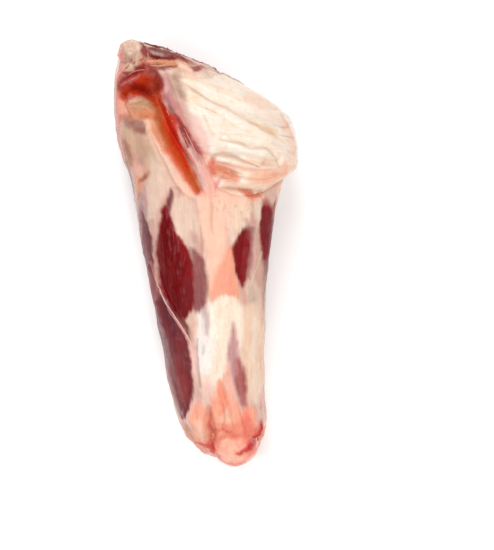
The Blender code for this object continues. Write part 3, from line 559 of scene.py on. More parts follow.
    ("hollow", 0.8, 5, ((148, 97, 1.6), (153, 98, 3), (158, 104, 3))),
    ("ember", 0.45, 5, ((152, 84, 2), (155, 90, 3.4), (158, 97, 2))),
    ("orange", 0.6, 5, ((143, 116, 2), (150, 115, 3))),
    ("brown", 0.8, 3, ((125, 104, 1.4), (128, 110, 1.4), (130, 117, 1.4))),
    ("hollow", 0.5, 4, ((123, 99, 2), (126, 102, 1.4))),
    ("shred", 0.9, 3, ((122, 84, 1), (128, 82, 1.5), (134, 79, 1.5), (139, 75, 1.2))),
    ("shred", 0.7, 3, ((146, 71, 1), (149, 67, 1.8), (151, 64, 0.8))),
    ("cut_muscle", 1.0, 5, ((150, 48, 3), (157, 49, 4.6), (166, 51, 4.4), (174, 54, 3), (182, 58, 2))),
    ("taupe", 0.3, 4, ((158, 50, 1.6), (166, 51, 2), (172, 53, 1.6))),
    ("brick", 0.9, 4, ((166, 58, 2), (173, 58, 3), (181, 60, 2.4), (187, 62, 1.4))),
    ("brick", 0.95, 5, ((143, 44, 2.4), (144, 50, 3.8), (148, 55, 3.4))),
    ("maroon", 1.0, 4, ((150, 56, 2), (156, 58, 3), (161, 59, 3), (167, 58, 1.6), (174, 59, 1))),
    ("amber", 0.95, 4, ((149, 61, 1.4), (156, 63, 2.4), (168, 63, 2.4), (176, 64, 1.6))),
    ("brick", 0.9, 4, ((150, 67, 2.4), (157, 67, 2.6), (164, 69, 2.2), (170, 67, 1.4), (177, 66, 1))),
    ("umber", 0.7, 4, ((152, 67, 1.6), (157, 67, 2), (164, 69, 1.4))),
    ("peach", 0.95, 4, ((177, 63, 1.8), (184, 66, 4), (191, 70, 3.4))),
    ("rosewood", 0.9, 4, ((190, 68, 1.4), (196, 70, 2.8), (201, 68, 2))),
    ("rose", 0.8, 4, ((200, 67, 1.6), (205, 67, 2.4))),
    ("bone", 1.0, 5, ((134, 43, 4), (131, 49, 6.4), (133, 56, 5), (137, 62, 3))),
    ("amber", 0.6, 5, ((141, 56, 1.6), (144, 60, 2.4), (140, 64, 1.6))),
    ("peach", 0.5, 4, ((136, 43, 2), (138, 50, 2))),
    ("greige", 0.8, 4, ((126, 62, 2), (128, 68, 3.6), (133, 69, 2))),
    ("umber", 0.7, 3, ((130, 60, 1.4), (134, 63, 2.2))),
    ("taupe", 0.7, 3, ((123, 46, 1), (125, 52, 1.6), (126, 58, 1.2))),
    ("crimson", 0.5, 4, ((121, 56, 1.6), (122, 60, 2.2))),
    # The fat pad
    ("cream", 1.0, 5,
     ((212, 68, 4), (226, 74, 6), (240, 80, 6), (254, 88, 6), (270, 100, 6), (284, 114, 6), (294, 130, 6))),
    ("sand", 0.7, 9, ((188, 76, 4), (192, 86, 6), (195, 99, 6))),
    ("olive", 0.9, 7, ((175, 76, 4), (177, 84, 5), (182, 93, 5), (184, 100, 3))),
    ("rose_beige", 0.8, 8, ((180, 98, 3), (184, 110, 5), (189, 121, 4.6))),
    ("taupe", 0.6, 6, ((175, 77, 3), (178, 86, 4), (182, 95, 3))),
    ("pink", 0.8, 8, ((194, 118, 4), (198, 128, 6), (203, 138, 6), (206, 148, 3))),
    ("blush", 0.25, 9, ((212, 140, 6), (222, 147, 6))),
    ("peach", 0.45, 9, ((250, 97, 6), (260, 102, 6), (268, 106, 3))),
    # Gold on the lower side of the long fold: painted shade under the fold
    ("gold", 0.8, 6, ((250, 121, 1.4), (260, 126, 2.6), (268, 129, 3.8), (275, 134, 3))),
    ("peach", 0.75, 10, ((286, 124, 3), (293, 140, 5), (295, 154, 5), (288, 166, 6))),
    ("sand", 0.8, 9, ((240, 165, 4), (260, 164, 6), (276, 160, 5))),
    ("apricot", 0.95, 9, ((254, 179, 6), (268, 179, 9), (282, 172, 7))),
    ("salmon", 0.5, 6, ((258, 181, 2), (265, 180, 4), (274, 177, 3))),
    ("sand", 0.9, 7, ((226, 184, 3), (240, 186, 4), (256, 188, 4), (266, 187, 3))),
    ("blush", 0.85, 8, ((206, 152, 3), (206, 162, 4.4), (209, 174, 5), (214, 184, 5), (208, 194, 5))),
    ("tan", 0.5, 5, ((204, 156, 1.6), (205, 164, 1.6))),
    ("ember", 0.95, 5, ((212, 160, 1.6), (212, 166, 3.6), (214, 173, 3))),
    ("ember", 0.7, 8, ((217, 167, 5), (226, 173, 8), (236, 178, 5))),
    ("amber", 0.7, 6, ((218, 168, 4), (226, 173, 6.6), (234, 177, 4))),
    ("orange", 0.5, 5, ((218, 169, 3), (224, 171, 3))),
    ("rose", 0.6, 4, ((219, 180, 1.4), (216, 186, 2.2))),
    ("amber", 0.5, 5, ((222, 188, 1.6), (231, 190, 3), (240, 190, 2))),
    ("ember", 1.0, 4, ((241, 191, 1), (250, 194, 4), (253, 198, 3.6), (262, 193, 1))),
    ("orange", 0.7, 3, ((249, 195, 2), (254, 198, 2.4))),
    ("peach", 0.7, 8, ((262, 196, 4), (250, 200, 5), (236, 198, 6), (222, 200, 6))),
    ("ember", 0.8, 4, ((245, 192, 1.2), (252, 196, 2.8), (259, 195, 1.4))),
    ("rose", 0.5, 4, ((276, 108, 0.5), (283, 116, 1.0), (289, 126, 1.0), (294, 138, 0.5))),
    ("tan", 0.7, 2.4, ((226, 73, 0.6), (233, 76, 1), (240, 80, 0.6))),
)

# Folds in the fat pad and creases in the meat, as seen from above: depth in millimetres, the tissue in them,
# its strength, and places in pixels of the photograph. The tissue is painted shade that darkens each fold;
# round the knuckle it is partly the clefts' own red.
CREASES = (
    (0.8, "tan", 0.47,
     ((184, 82, 2.5), (195, 90, 3.8), (204, 96, 3.8), (213, 101, 4.0), (222, 105, 4.0), (231, 109, 4.2),
      (240, 115, 4.5), (250, 120, 4.8), (260, 126, 5.0), (270, 131, 5.0), (278, 137, 3.8),
      (285, 143, 2.5))),
    (0.4, "tan", 0.21, ((196, 78, 2.5), (210, 84, 3.8), (226, 92, 3.8), (240, 99, 2.5))),
    (0.3, "tan", 0.17,
     ((200, 104, 2.5), (212, 112, 3.8), (224, 118, 3.8), (238, 127, 3.0), (250, 133, 2.5))),
    (0.4, "olive", 0.34, ((203, 116, 2.5), (208, 126, 3.8), (213, 136, 2.5))),
    (0.7, "tan", 0.55,
     ((220, 139, 2.0), (232, 141, 3.2), (242, 143, 3.5), (250, 147, 3.5), (258, 148, 3.0), (267, 148, 3.5),
      (272, 152, 3.5), (276, 158, 3.0), (280, 167, 2.0))),
    (1.0, "brown", 0.55,
     ((210, 163, 2.5), (213, 158, 3.8), (219, 155, 4.0), (226, 155, 4.0), (234, 157, 3.8), (242, 160, 3.2),
      (250, 163, 2.8), (262, 168, 2.0))),
    (0.8, "salmon", 0.51,
     ((217, 163, 2.2), (228, 165, 3.5), (238, 168, 3.8), (250, 170, 3.8), (262, 171, 3.2),
      (274, 169, 2.2))),
    (0.8, "tan", 0.55,
     ((232, 172, 2.2), (244, 177, 3.5), (256, 179, 3.5), (268, 179, 3.0), (276, 176, 2.0))),
    (0.8, "brown", 0.42,
     ((221, 188, 2.0), (231, 189, 3.5), (242, 190, 3.8), (252, 191, 3.8), (264, 191, 2.5))),
    (0.5, "salmon", 0.34, ((266, 159, 1.8), (264, 163, 3.2), (258, 167, 2.2))),
    (0.4, "salmon", 0.26, ((284, 160, 2.0), (287, 166, 3.0), (284, 173, 2.0))),
    (0.5, "rose", 0.42, ((222, 178, 2.0), (218, 184, 3.2), (215, 192, 2.2))),
    (0.5, "brown", 0.35, ((210, 196, 1.4), (212, 208, 2.2), (211, 222, 2.2), (213, 236, 1.4))),
    (0.5, "tan", 0.30, ((222, 226, 1.4), (228, 229, 2.2), (232, 234, 1.4))),
    (0.6, "grey", 0.30, ((196, 336, 1.0), (197, 352, 1.8), (198, 370, 2), (200, 388, 1.4))),
    (0.9, "crimson", 0.35, ((210, 410, 1.4), (210, 424, 2.4), (211, 438, 2.6), (213, 448, 2))),
    (0.7, "coral", 0.30, ((222, 402, 1.4), (224, 418, 2.4), (223, 430, 1.6))),
    (0.7, "coral", 0.30, ((238, 404, 1.4), (242, 418, 2.4), (245, 432, 2), (244, 444, 1.4))),
    (0.9, "crimson", 0.30, ((214, 449, 1.8), (218, 456, 2.6), (224, 462, 1.8))),
)
# Ridges, likewise: height in millimetres, and places
RIDGES = (
    (0.9, ((150, 262, 1.4), (160, 290, 1.8), (172, 315, 2.0), (187, 339, 2.4), (195, 350, 1.8))),
    (1.4,
     ((148, 118, 2.6), (152, 130, 4.0), (160, 148, 4.4), (168, 164, 4.4), (180, 186, 4.4), (190, 197, 3))),
    (1.2, ((150, 62, 2.4), (162, 63, 3.4), (176, 63, 3.0), (190, 69, 3.4), (204, 66, 2.4))),
    (1.0, ((184, 142, 1.6), (192, 154, 2.6), (200, 170, 3.0), (205, 184, 2.4))),
    (1.0, ((139, 176, 3), (139, 188, 4), (138, 198, 2))),
    (1.6, ((221, 381, 3), (223, 396, 5), (227, 412, 6), (230, 430, 5))),
    (1.4, ((199, 412, 5), (201, 424, 8), (203, 436, 5))),
    (0.8, ((216, 340, 4), (216, 356, 5), (214, 372, 4))),
    (2.6, ((134, 106, 5), (142, 107, 7), (150, 108, 5))),
)

# Sinews that lie on the meat, as seen from above: tissue, and places (column, row, radius in millimetres)
SINEWS = (
    ("pink",
     ((155, 277, 0.1), (158, 285, 0.22), (161, 292, 0.27), (166, 303, 0.29), (173, 315, 0.29),
      (181, 327, 0.31), (189, 339, 0.36), (195, 350, 0.2))),
    ("rose", ((177, 124, 0.1), (181, 134, 0.30), (186, 146, 0.36), (192, 158, 0.36), (198, 170, 0.2))),
    ("rose", ((184, 128, 0.1), (190, 140, 0.30), (196, 152, 0.30), (202, 164, 0.1))),
    ("shred", ((122, 85, 0.1), (129, 81, 0.40), (135, 78, 0.42), (140, 74, 0.1))),
    ("shred", ((127, 76, 0.1), (133, 72, 0.34), (140, 70, 0.34), (147, 70, 0.1))),
    ("amber", ((150, 65, 0.2), (158, 66, 0.40), (167, 65, 0.40), (178, 65, 0.2))),
    ("fascia_light", ((262, 250, 0.1), (258, 264, 0.19), (253, 278, 0.19), (249, 289, 0.1))),
)
# Torn fibres: tissue, how many, the spread in millimetres, and the places (around, share) they grow along
TORN_FIBRES = (
    ("shred", 16, 2.0, ((157, 0.880), (140, 0.902), (124, 0.926), (109, 0.944))),
    ("blush", 12, 2.0, ((150, 0.915), (134, 0.936), (112, 0.952), (85, 0.962))),
    ("rose", 10, 1.2, ((112, 0.850), (106, 0.815), (101, 0.780), (96, 0.740))),
    ("peach", 10, 1.6, ((88, 0.640), (80, 0.612), (60, 0.605), (40, 0.618))),
    ("cream", 14, 1.2, ((196, 0.955), (220, 0.955), (250, 0.955), (290, 0.950), (330, 0.940))),
    ("salmon", 12, 2.4, ((120, 0.060), (100, 0.040), (60, 0.045), (20, 0.060))),
)

# The cut face of the elbow: middles of the muscle ends (x, z) and their weights, in millimetres
MUSCLE_ENDS = (
    (-27, 19, 1),
    (-17, 11, 3),
    (-13, 25, 3),
    (-1, 8, 1),
    (0, 19, 4),
    (3, 34, 6),
    (13, 14, 2),
    (20, 26, 5),
    (-8, 41, 1),
    (16, 40, 2),
    (-26, 32, 0),
    (30, 36, 1),
)
MUSCLE_END_TISSUES = ("cut_end", "cut_end_dark", "cut_end_brown")
# How far the skin must face the elbow's end to be cut, from none of it to all, and how much more on top
FACE_FROM, FACE_WHOLE = 0.66, 0.71
FACE_TOP_MORE, FACE_TOP = 0.5, (0.0, 0.16)
FACE_RAGGED, FACE_RAGGED_LENGTH = 0.07, 7.0
# The seams between the muscle ends: how they wander, how wide they are, and their red and pale parts
SEAM_SWAY, SEAM_SWAY_LENGTH = 4.0, 13.0
SEAM_QUIVER, SEAM_QUIVER_LENGTH = 0.7, 3.0
SEAM_WIDTH, SEAM_UNEVEN, SEAM_UNEVEN_LENGTH = 0.7, 0.9, 8.0
SEAM_RED, SEAM_RED_EDGE = 0.8, (2.6, 0.4)
SEAM_PALE, SEAM_PALE_EDGE = 0.75, (0.5, -0.3)
# Paler patches and marbling in the muscle ends, and the rim of fat round the face
FACE_MOTTLE, FACE_MOTTLE_LENGTH, FACE_MOTTLE_RISE = 0.6, 6.0, (0.0, 0.8)
MARBLING, MARBLING_WIDTH, MARBLING_WAVES = 0.55, 0.06, (0.14, 0.1, 0.22)
MARBLED_LENGTH, MARBLED_RISE = 11.0, (-0.1, 0.4)
RIM, RIM_STARTS, RIM_WHOLE, RIM_EDGE = 0.8, 0.16, 0.10, 0.03
# How far each muscle end bulges, and its grain
FACE_BULGE, FACE_BULGE_REACH, FACE_BULGE_LEVEL = 2.0, 5.0, 0.6
FACE_GRAIN, FACE_GRAIN_LENGTH = 0.35, 2.2

# Soft patches in the ground tissues: tissue, strength, length in millimetres
MEAT_PATCHES = (("greige", 0.4, 9.0), ("pink", 0.5, 7.0), ("cream", 0.6, 8.0), ("rose_beige", 0.35, 6.0))
PAD_PATCHES = (("ivory", 0.8, 8.0), ("sand", 0.30, 6.0), ("peach", 0.20, 9.0))
BONE_PATCHES = (("tan", 0.6, 5.0), ("rose", 0.4, 4.0), ("ember", 0.4, 5.0))
PATCH_STRETCH, PATCH_RISE = 3.0, (-0.1, 0.6)
PATCH_OCTAVES, PATCH_SEED = 3, 40

# ---- How strokes are laid on: lengths and depths in millimetres ----
# Pieces of a stroke from each of its places to the next, and the depth of points that none has reached
STROKE_STEPS = 4
FAR_OUTSIDE = -1000.0
# The strokes' edges waver, and fray along the fibres below the shoulder
EDGE_WARP, EDGE_WARP_LENGTH = 0.55, 4.0
FINE_WARP, FINE_WARP_LENGTH = 0.22, 1.5
FRAY, FRAY_PITCH, FRAY_UNTIL, FRAY_FADE = 0.9, 1.2, 0.70, 0.08
CREASE_WARP_SHARE = 0.5
# The paint seen from above ends where the surface faces sideways, and is drawn out along the shank there
SHOWN_FROM_ABOVE, SHOWN_RAGGED = (-0.12, 0.12), 0.1
SIDE_WARP, SIDE_WARP_LENGTH, SIDE_WARP_FACING = 4.0, 9.0, (0.4, 0.0)
SIDE_TAPER, SIDE_MIDDLE = 0.3, -40.0

# ---- Fine relief: depths, lengths and pitches in millimetres ----
LOW_WAVE, LOW_WAVE_LENGTH = 0.6, 17.0
FINE_WAVE, FINE_WAVE_LENGTH = 0.18, 4.0
MUSCLE_SUNK, MUSCLE_SUNK_FIBRE = 0.5, (0.3, 0.9)
FIBRE_DEPTH, FIBRE_PITCH, FIBRE_STRETCH, FIBRE_LEAST = 0.09, 1.5, 14.0, 0.4
LOBULE_DEPTH, LOBULE_LENGTH = 0.25, 3.2
TORN_DEPTH, TORN_LENGTH, TORN_LEVEL, TORN_TOP = 1.3, 3.4, 0.5, 0.4
KNOBBLY_DEPTH, KNOBBLY_LENGTH, KNOBBLY_SHARES = 0.9, 7.0, (0.17, 0.04)
FACE_DRAWN_IN, FACE_DRAWN_FACING = 1.5, (0.2, 0.8)
UNDERSIDE_FACING = (0.3, -0.5)
GRAIN_RADIUS, GRAIN_SLIMMEST, GRAIN_STRAIGHT_FROM = 35.0, 0.45, 0.80

# Rings round the fat pad's middle: 0 there, 1 on its outline. Shares are stretched, and angles past the back
# count as below 0. The meat rises in a skirt round the pad, and sinks to clear it.
RING_STRETCH, RING_SAMPLES, RING_BACK = 1.6, 720, 220
SKIRT_HEIGHT, SKIRT_LENGTH = 0.5, 0.09
PAD_CLEARANCE, PAD_CLEAR_RINGS = 2.6, (0.94, 0.80)

# The pad's edge turns blunt between these angles and shares, towards its right side, and tapers elsewhere
PAD_BLUNT_AROUND, PAD_BLUNT_SHARE = (84, 40), (0.66, 0.74)
PAD_TAPER_FROM = 0.62
# Its rings are evenly spaced in part and crowd at its edge in part. Its bed lies this much deeper than the
# solid's.
RINGS_EVEN, RINGS_CROWDED = 0.55, 0.45
BED_RINGS, BED_DEPTH = 5, 1.1
OUTLINE_WAVE, OUTLINE_WAVE_LENGTH = 1.4, 9.0
# Its folds run across the shank and turn steeper towards the elbow
FOLD_SLOPE, FOLD_SLOPE_MORE, FOLD_SLOPE_RISE = 0.14, 0.44, (30, 70)
FOLD_HEIGHT_SHARE = 0.5
FOLD_WANDER, FOLD_WANDER_LENGTH = 1.2, 12.0
WRINKLE_DEPTH, WRINKLE_PITCH, WRINKLE_LENGTH = 0.40, 3.2, 26.0
CREASE_DEPTH, CREASE_PITCH, CREASE_LENGTH, CREASE_WIDTH = 0.6, 7.0, 34.0, 0.07
CREASED_LENGTH, CREASED_RISE = 16.0, (-0.1, 0.5)
PAD_GRAIN, PAD_GRAIN_LENGTH = 0.12, 2.6
SIDE_LUMP, SIDE_LUMP_LENGTH, PAD_SIDE_FACING = 0.8, 8.0, (0.6, 0.0)

# The bone: its rings crowd at both ends. Tissues and relief start and are whole at these places along Y.
BONE_CROWDED = 0.12
GRISTLE_Y, ELBOW_TIP_Y, KNUCKLE_END_Y = (-70, -80), (84, 92), (-80, -86)
IVORY, IVORY_Y, IVORY_LENGTH, IVORY_RISE = 0.7, (-94, -99), 6.0, (-0.5, 0.3)
CORAL, CORAL_Y = 0.7, ((-92, -95), (-98, -95))
BONE_WAVE, BONE_WAVE_LENGTH, BONE_CREASES = 0.35, 5.0, 0.3
TIP_WAVE, TIP_WAVE_LENGTH = 1.3, 6.0
TIP_RIDGES, TIP_RIDGES_LENGTH, TIP_RIDGES_LEVEL = 0.7, 4.0, 0.6
KNUCKLE_WAVE, KNUCKLE_WAVE_LENGTH = 0.25, 4.0

# Strands: a sinew stands out of the meat by a share of its radius. A torn fibre's length and radius vary by
# the factors given, and it runs mostly along the shank. Both lie only where the meat faces up by this much.
STRAND_SIDES, STRAND_STEPS, STRAND_UP = 6, 9, (0.0, 0.3, 1.0)
SINEW_STANDS = 0.3
SINEWS_FACE, FIBRES_FACE = 0.3, -0.6
FIBRE_RUN, FIBRE_RUN_FACTORS, FIBRE_HEADING = 3.4, (0.5, 1.4), (0.35, 1.0, 0.3)
FIBRE_RADIUS, FIBRE_RADIUS_FACTORS = 0.16, (0.7, 1.6)
FIBRE_LIFT, FIBRE_START, FIBRE_SPAN = 0.35, 0.08, 0.88

# ---- The photograph's frame and the camera ----
PHOTO_HEIGHT = 550
PHOTO_MIDDLE = (247, 275)
PIXEL = 0.466 * MM
CAMERA_LENS, SENSOR = 280.0, 36.0
CAMERA_HEIGHT = PHOTO_HEIGHT * PIXEL * CAMERA_LENS / SENSOR
CAMERA_CLIP_END = 30.0
AIM = (0.0176, -0.0123, 0.028)
ROLL = 5.0
# How brightly the scene lights a white surface: colours are divided by it, to show as the tables say
LIGHT_LEVEL = 1.46


# ---- The shape functions of the solids ----
def spline(rows, u):
    """Catmull-Rom through the rows of a table, read at the row numbers u."""
    rows = np.asarray(rows, float)
    u = np.clip(np.asarray(u, float), 0, len(rows) - 1)
    i = np.minimum(u.astype(int), len(rows) - 2)
    t = (u - i)[..., None]
    before, a, b, after = (rows[np.clip(i + k, 0, len(rows) - 1)] for k in (-1, 0, 1, 2))
    slope_a, slope_b = (b - before) / 2, (after - a) / 2
    return (
        (2 * t**3 - 3 * t**2 + 1) * a
        + (t**3 - 2 * t**2 + t) * slope_a
        + (3 * t**2 - 2 * t**3) * b
        + (t**3 - t**2) * slope_b
    )


RIB_NUMBERS = np.linspace(0, len(RIBS) - 1, SPLINE_SAMPLES)
RIB_SAMPLES = spline(RIBS, RIB_NUMBERS)
RIB_SHARES = np.maximum.accumulate(RIB_SAMPLES[:, 0])


def smooth(low, high, value):
    """0 at low, 1 at high, with a smooth rise between."""
    t = np.clip((value - low) / (high - low), 0, 1)
    return t * t * (3 - 2 * t)


def crowding(places, middle, spread, strength):
    """Weights for places: 1 far from a middle, more near it."""
    return 1 + strength * np.exp(-(((places - middle) / spread) ** 2))


def spread_evenly(positions, weights, count):
    """Positions spaced so that each of the count steps holds the same weight."""
    total = np.concatenate([[0], np.cumsum((weights[1:] + weights[:-1]) / 2 * np.diff(positions))])
    return np.interp(np.linspace(0, total[-1], count + 1), total, positions)


def skin(around, share):
    """Points of the smooth meat, before its relief and before its underside is pressed flat."""
    around, share = np.broadcast_arrays(np.asarray(around, float), np.asarray(share, float))
    rib = spline(RIBS, np.interp(share, RIB_SHARES, RIB_NUMBERS))
    offset, half, slant, top, bottom = (rib[..., k] for k in range(1, 6))
    half = np.maximum(half, 0) * HALF_WIDTH
    level = bottom + WIDEST_AT * (top - bottom)
    angle, slant = np.radians(around), np.radians(slant)
    cos, sin = np.cos(angle), np.sin(angle)
    across = half * np.sign(cos) * np.abs(cos) ** (2 / SQUARENESS)
    rise = np.where(sin > 0, top - level, level - bottom)
    return np.stack(
        [
            offset * HALF_WIDTH + across * np.cos(slant),
            KNUCKLE_Y + share * MEAT_LENGTH + across * np.sin(slant),
            HEIGHT * (level + rise * np.sign(sin) * np.abs(sin) ** (2 / SQUARENESS)),
        ],
        axis=-1,
    )


def outward(around, share):
    """Unit vectors pointing out of the smooth meat."""
    along = skin(around, np.minimum(share + STEP_SHARE, 1)) - skin(around, np.maximum(share - STEP_SHARE, 0))
    about = skin(around + STEP_AROUND, share) - skin(around - STEP_AROUND, share)
    out = np.cross(along, about)
    return out / np.maximum(np.linalg.norm(out, axis=-1, keepdims=True), TINY)


def raised(points, height, out):
    """Points moved outwards by heights in millimetres."""
    return points + height[..., None] * MM * out


def near(points, line, reach):
    """Which points lie in the box round a line, grown by a reach."""
    return np.all((points > line.min(0) - reach) & (points < line.max(0) + reach), axis=-1)


def fat_outline(turns):
    """Places (around, share) on the fat pad's outline. Turns count its points."""
    wrapped = (*FAT_OUTLINE[-2:], *FAT_OUTLINE, *FAT_OUTLINE[:2])
    return spline(wrapped, np.asarray(turns) + 2)


def fat_height(around, share):
    """How many millimetres the pad stands above the smooth meat, before its edge is rounded."""
    full = smooth(FAT_THIN_AROUND, FAT_FULL_AROUND, around) * smooth(FAT_THIN_SHARE, FAT_FULL_SHARE, share)
    thickness = FAT_THINNEST + (FAT_THICKNESS - FAT_THINNEST) * full
    return thickness / MM + relief(FAT_RELIEF, on_skin, skin(around, share) / MM)


# ---- Noise ----
# A seed only picks another part of it
NOISE_SIZE, NOISE_GAIN, SEED_SHIFT = 64, 1.7, 13.7
OCTAVE_STEP, RIDGES_TOP = 2.07, 1.6
random = np.random.default_rng(20)
GRADIENTS = random.normal(size=(NOISE_SIZE,) * 3 + (3,))
GRADIENTS /= np.linalg.norm(GRADIENTS, axis=-1, keepdims=True)


def noise(points, seed=0):
    """Gradient noise, roughly between -1 and 1, with a wave to each unit of length."""
    points = np.asarray(points, float) + SEED_SHIFT * seed
    cell = np.floor(points).astype(int)
    offset = points - cell
    fade = offset**3 * (offset * (offset * 6 - 15) + 10)
    total = np.zeros(points.shape[:-1])
    for corner in itertools.product((0, 1), repeat=3):
        index = tuple(np.moveaxis((cell + corner) % NOISE_SIZE, -1, 0))
        weight = np.prod(np.where(corner, fade, 1 - fade), axis=-1)
        total += weight * np.sum(GRADIENTS[index] * (offset - corner), axis=-1)
    return total * NOISE_GAIN


def fractal(points, octaves, seed=0):
    """Noise of several sizes, each half as large and half as strong as the one before."""
    return sum(noise(points * OCTAVE_STEP**k, seed + k) / 2**k for k in range(octaves))


def ridges(points, octaves, seed=0):
    """Noise with sharp crests: 1 on a crest, falling to about 0 away from it."""
    crests = ((1 - np.abs(noise(points * OCTAVE_STEP**k, seed + k))) ** 2 / 2**k for k in range(octaves))
    return sum(crests) / RIDGES_TOP


def wobble(points, length, seed):
    """Vectors that wander over a length, in the points' units."""
    return np.stack([noise(points / length, seed + k) for k in range(3)], axis=-1)


def stretched(grain, pitch, stretch):
    """Noise coordinates for streaks along the fibres, a pitch apart."""
    return grain / (pitch * np.array([1.0, stretch, 1.0]))


# ---- Strokes of paint and relief ----
def seen(points):
    """Where points show in the photograph: column and row in its pixels."""
    x, y, z = np.moveaxis(points - AIM, -1, 0)
    cos, sin = math.cos(math.radians(ROLL)), math.sin(math.radians(ROLL))
    scale = CAMERA_HEIGHT / (CAMERA_HEIGHT - z) / PIXEL
    return np.stack([(x * cos - y * sin) * scale, -(x * sin + y * cos) * scale], axis=-1) + PHOTO_MIDDLE


def on_skin(places):
    """Points in millimetres for places (around, share)."""
    return skin(places[:, 0], places[:, 1]) / MM


def on_photo(places):
    """Places seen from above are in pixels already."""
    return places


def stroke_depth(places, locate, points, softness=0.0):
    """Which points are near a tapering stroke, how deep they lie in it (negative is outside), and how deep
    its widest place is.
    """
    line = spline(places, np.linspace(0, len(places) - 1, STROKE_STEPS * (len(places) - 1) + 1))
    knots, half_widths = locate(line[:, :2]), line[:, 2]
    close = near(points, knots, half_widths.max() + softness)
    inside = points[close]
    depth = np.full(len(inside), FAR_OUTSIDE)
    for a, b, wide_a, wide_b in zip(knots[:-1], knots[1:], half_widths[:-1], half_widths[1:]):
        run = b - a
        t = np.clip((inside - a) @ run / max(run @ run, TINY), 0, 1)
        distance = np.linalg.norm(inside - a - t[:, None] * run, axis=-1)
        depth = np.maximum(depth, wide_a + t * (wide_b - wide_a) - distance)
    return close, depth, half_widths.max()


def relief(strokes, locate, points):
    """The height in millimetres that strokes give at each point."""
    flat = points.reshape(-1, points.shape[-1])
    height = np.zeros(len(flat))
    for top, places in strokes:
        close, depth, widest = stroke_depth(places, locate, flat)
        height[close] += top * smooth(0, 1, depth / widest)
    return height.reshape(points.shape[:-1])


def to_linear(levels):
    """Light for sRGB display levels of 0 to 255."""
    share = np.asarray(levels, float) / 255
    return np.where(share > 0.04045, ((share + 0.055) / 1.055) ** 2.4, share / 12.92)


def tissue_values(name):
    """Red, green, blue, fibre, fat and torn of a tissue."""
    tissue = TISSUES[name]
    return np.concatenate([to_linear(tissue[:3]) / LIGHT_LEVEL, tissue[3:]])


def blend(values, name, cover):
    """Covers the values with a tissue."""
    values += np.asarray(cover)[..., None] * (tissue_values(name) - values)


def blend_some(values, chosen, name, cover):
    """Covers the chosen rows of the values with a tissue."""
    covered = values[chosen]
    blend(covered, name, cover)
    values[chosen] = covered


def mottled(base, patches, grain):
    """A base tissue with soft patches of others, drawn out along the fibres."""
    values = np.tile(tissue_values(base), (*grain.shape[:-1], 1))
    for number, (name, strength, length) in enumerate(patches):
        seed = PATCH_SEED + PATCH_OCTAVES * number
        patch = fractal(stretched(grain, length, PATCH_STRETCH), PATCH_OCTAVES, seed)
        blend(values, name, strength * smooth(*PATCH_RISE, patch))
    return values


def brush(values, layers, locate, points, shown=None):
    """Paints layers of strokes over the values, as far as each point is shown."""
    for name, strength, softness, places in layers:
        close, depth, _ = stroke_depth(places, locate, points, softness)
        cover = strength * smooth(-softness / 2, softness / 2, depth)
        blend_some(values, close, name, cover if shown is None else cover * shown[close])


def fold_in(values, pixels, shown):
    """Paints the creases seen from above with painted shade, and gives their height and the ridges' in
    millimetres.
    """
    height = relief(RIDGES, on_photo, pixels)
    for deep, name, strength, places in CREASES:
        close, depth, widest = stroke_depth(places, on_photo, pixels)
        cut = smooth(0, 1, depth / widest)
        height[close] -= deep * cut
        blend_some(values, close, name, strength * shown[close] * cut)
    return height * shown


def dress(values, points, share, grain, out, hidden=()):
    """Paints a piece: the hidden sides on its skin, then what is seen from above in the photograph's pixels.

    Gives the values, and the height in millimetres of the creases and ridges.
    """
    shape = points.shape[:-1]
    flat = values.reshape(-1, 6)
    millimetres = points.reshape(-1, 3) / MM
    frayed = FRAY * noise(stretched(grain.reshape(-1, 3), FRAY_PITCH, FIBRE_STRETCH), 8)
    frayed *= smooth(FRAY_UNTIL, FRAY_UNTIL - FRAY_FADE, share.reshape(-1))
    warped = millimetres + EDGE_WARP * wobble(millimetres, EDGE_WARP_LENGTH, 3)
    warped += FINE_WARP * wobble(millimetres, FINE_WARP_LENGTH, 6)
    warped[:, 1] += frayed
    brush(flat, hidden, on_skin, warped)
    facing_up = out.reshape(-1, 3)[:, 2]
    ragged = SHOWN_RAGGED * noise(millimetres / SIDE_WARP_LENGTH, 12)
    shown = smooth(*SHOWN_FROM_ABOVE, facing_up + ragged)
    drawn = SIDE_WARP * noise(millimetres / SIDE_WARP_LENGTH, 9)
    drawn += SIDE_TAPER * (millimetres[:, 1] - SIDE_MIDDLE)
    warped[:, 1] += smooth(*SIDE_WARP_FACING, facing_up) * drawn
    brush(flat, SEEN_PAINT, on_photo, seen(warped * MM), shown)
    creased = millimetres + CREASE_WARP_SHARE * (warped - millimetres)
    height = fold_in(flat, seen(creased * MM), shown)
    return flat.reshape(*shape, 6), height.reshape(shape)


# ---- Meshes ----
def closed_loft(rings, start, end):
    """Points and faces of rings joined in turn and closed by a point at each end."""
    count, columns = rings.shape[:2]
    points = np.concatenate([rings.reshape(-1, 3), [start, end]])
    first, last = count * columns, count * columns + 1
    here = np.arange(columns)
    after = (here + 1) % columns
    start_fan = np.stack([np.full(columns, first), here, after], axis=-1)
    end_row = (count - 1) * columns
    end_fan = np.stack([np.full(columns, last), end_row + after, end_row + here], axis=-1)
    rows = np.arange(count - 1)[:, None] * columns
    quads = np.stack([rows + here, rows + columns + here, rows + columns + after, rows + after], axis=-1)
    return points, [*start_fan.tolist(), *quads.reshape(-1, 4).tolist(), *end_fan.tolist()]


def with_ends(values):
    """The values of a loft's rings, then those of the points that close it."""
    return np.concatenate([values.reshape(-1, values.shape[-1]), [values[0].mean(0), values[-1].mean(0)]])


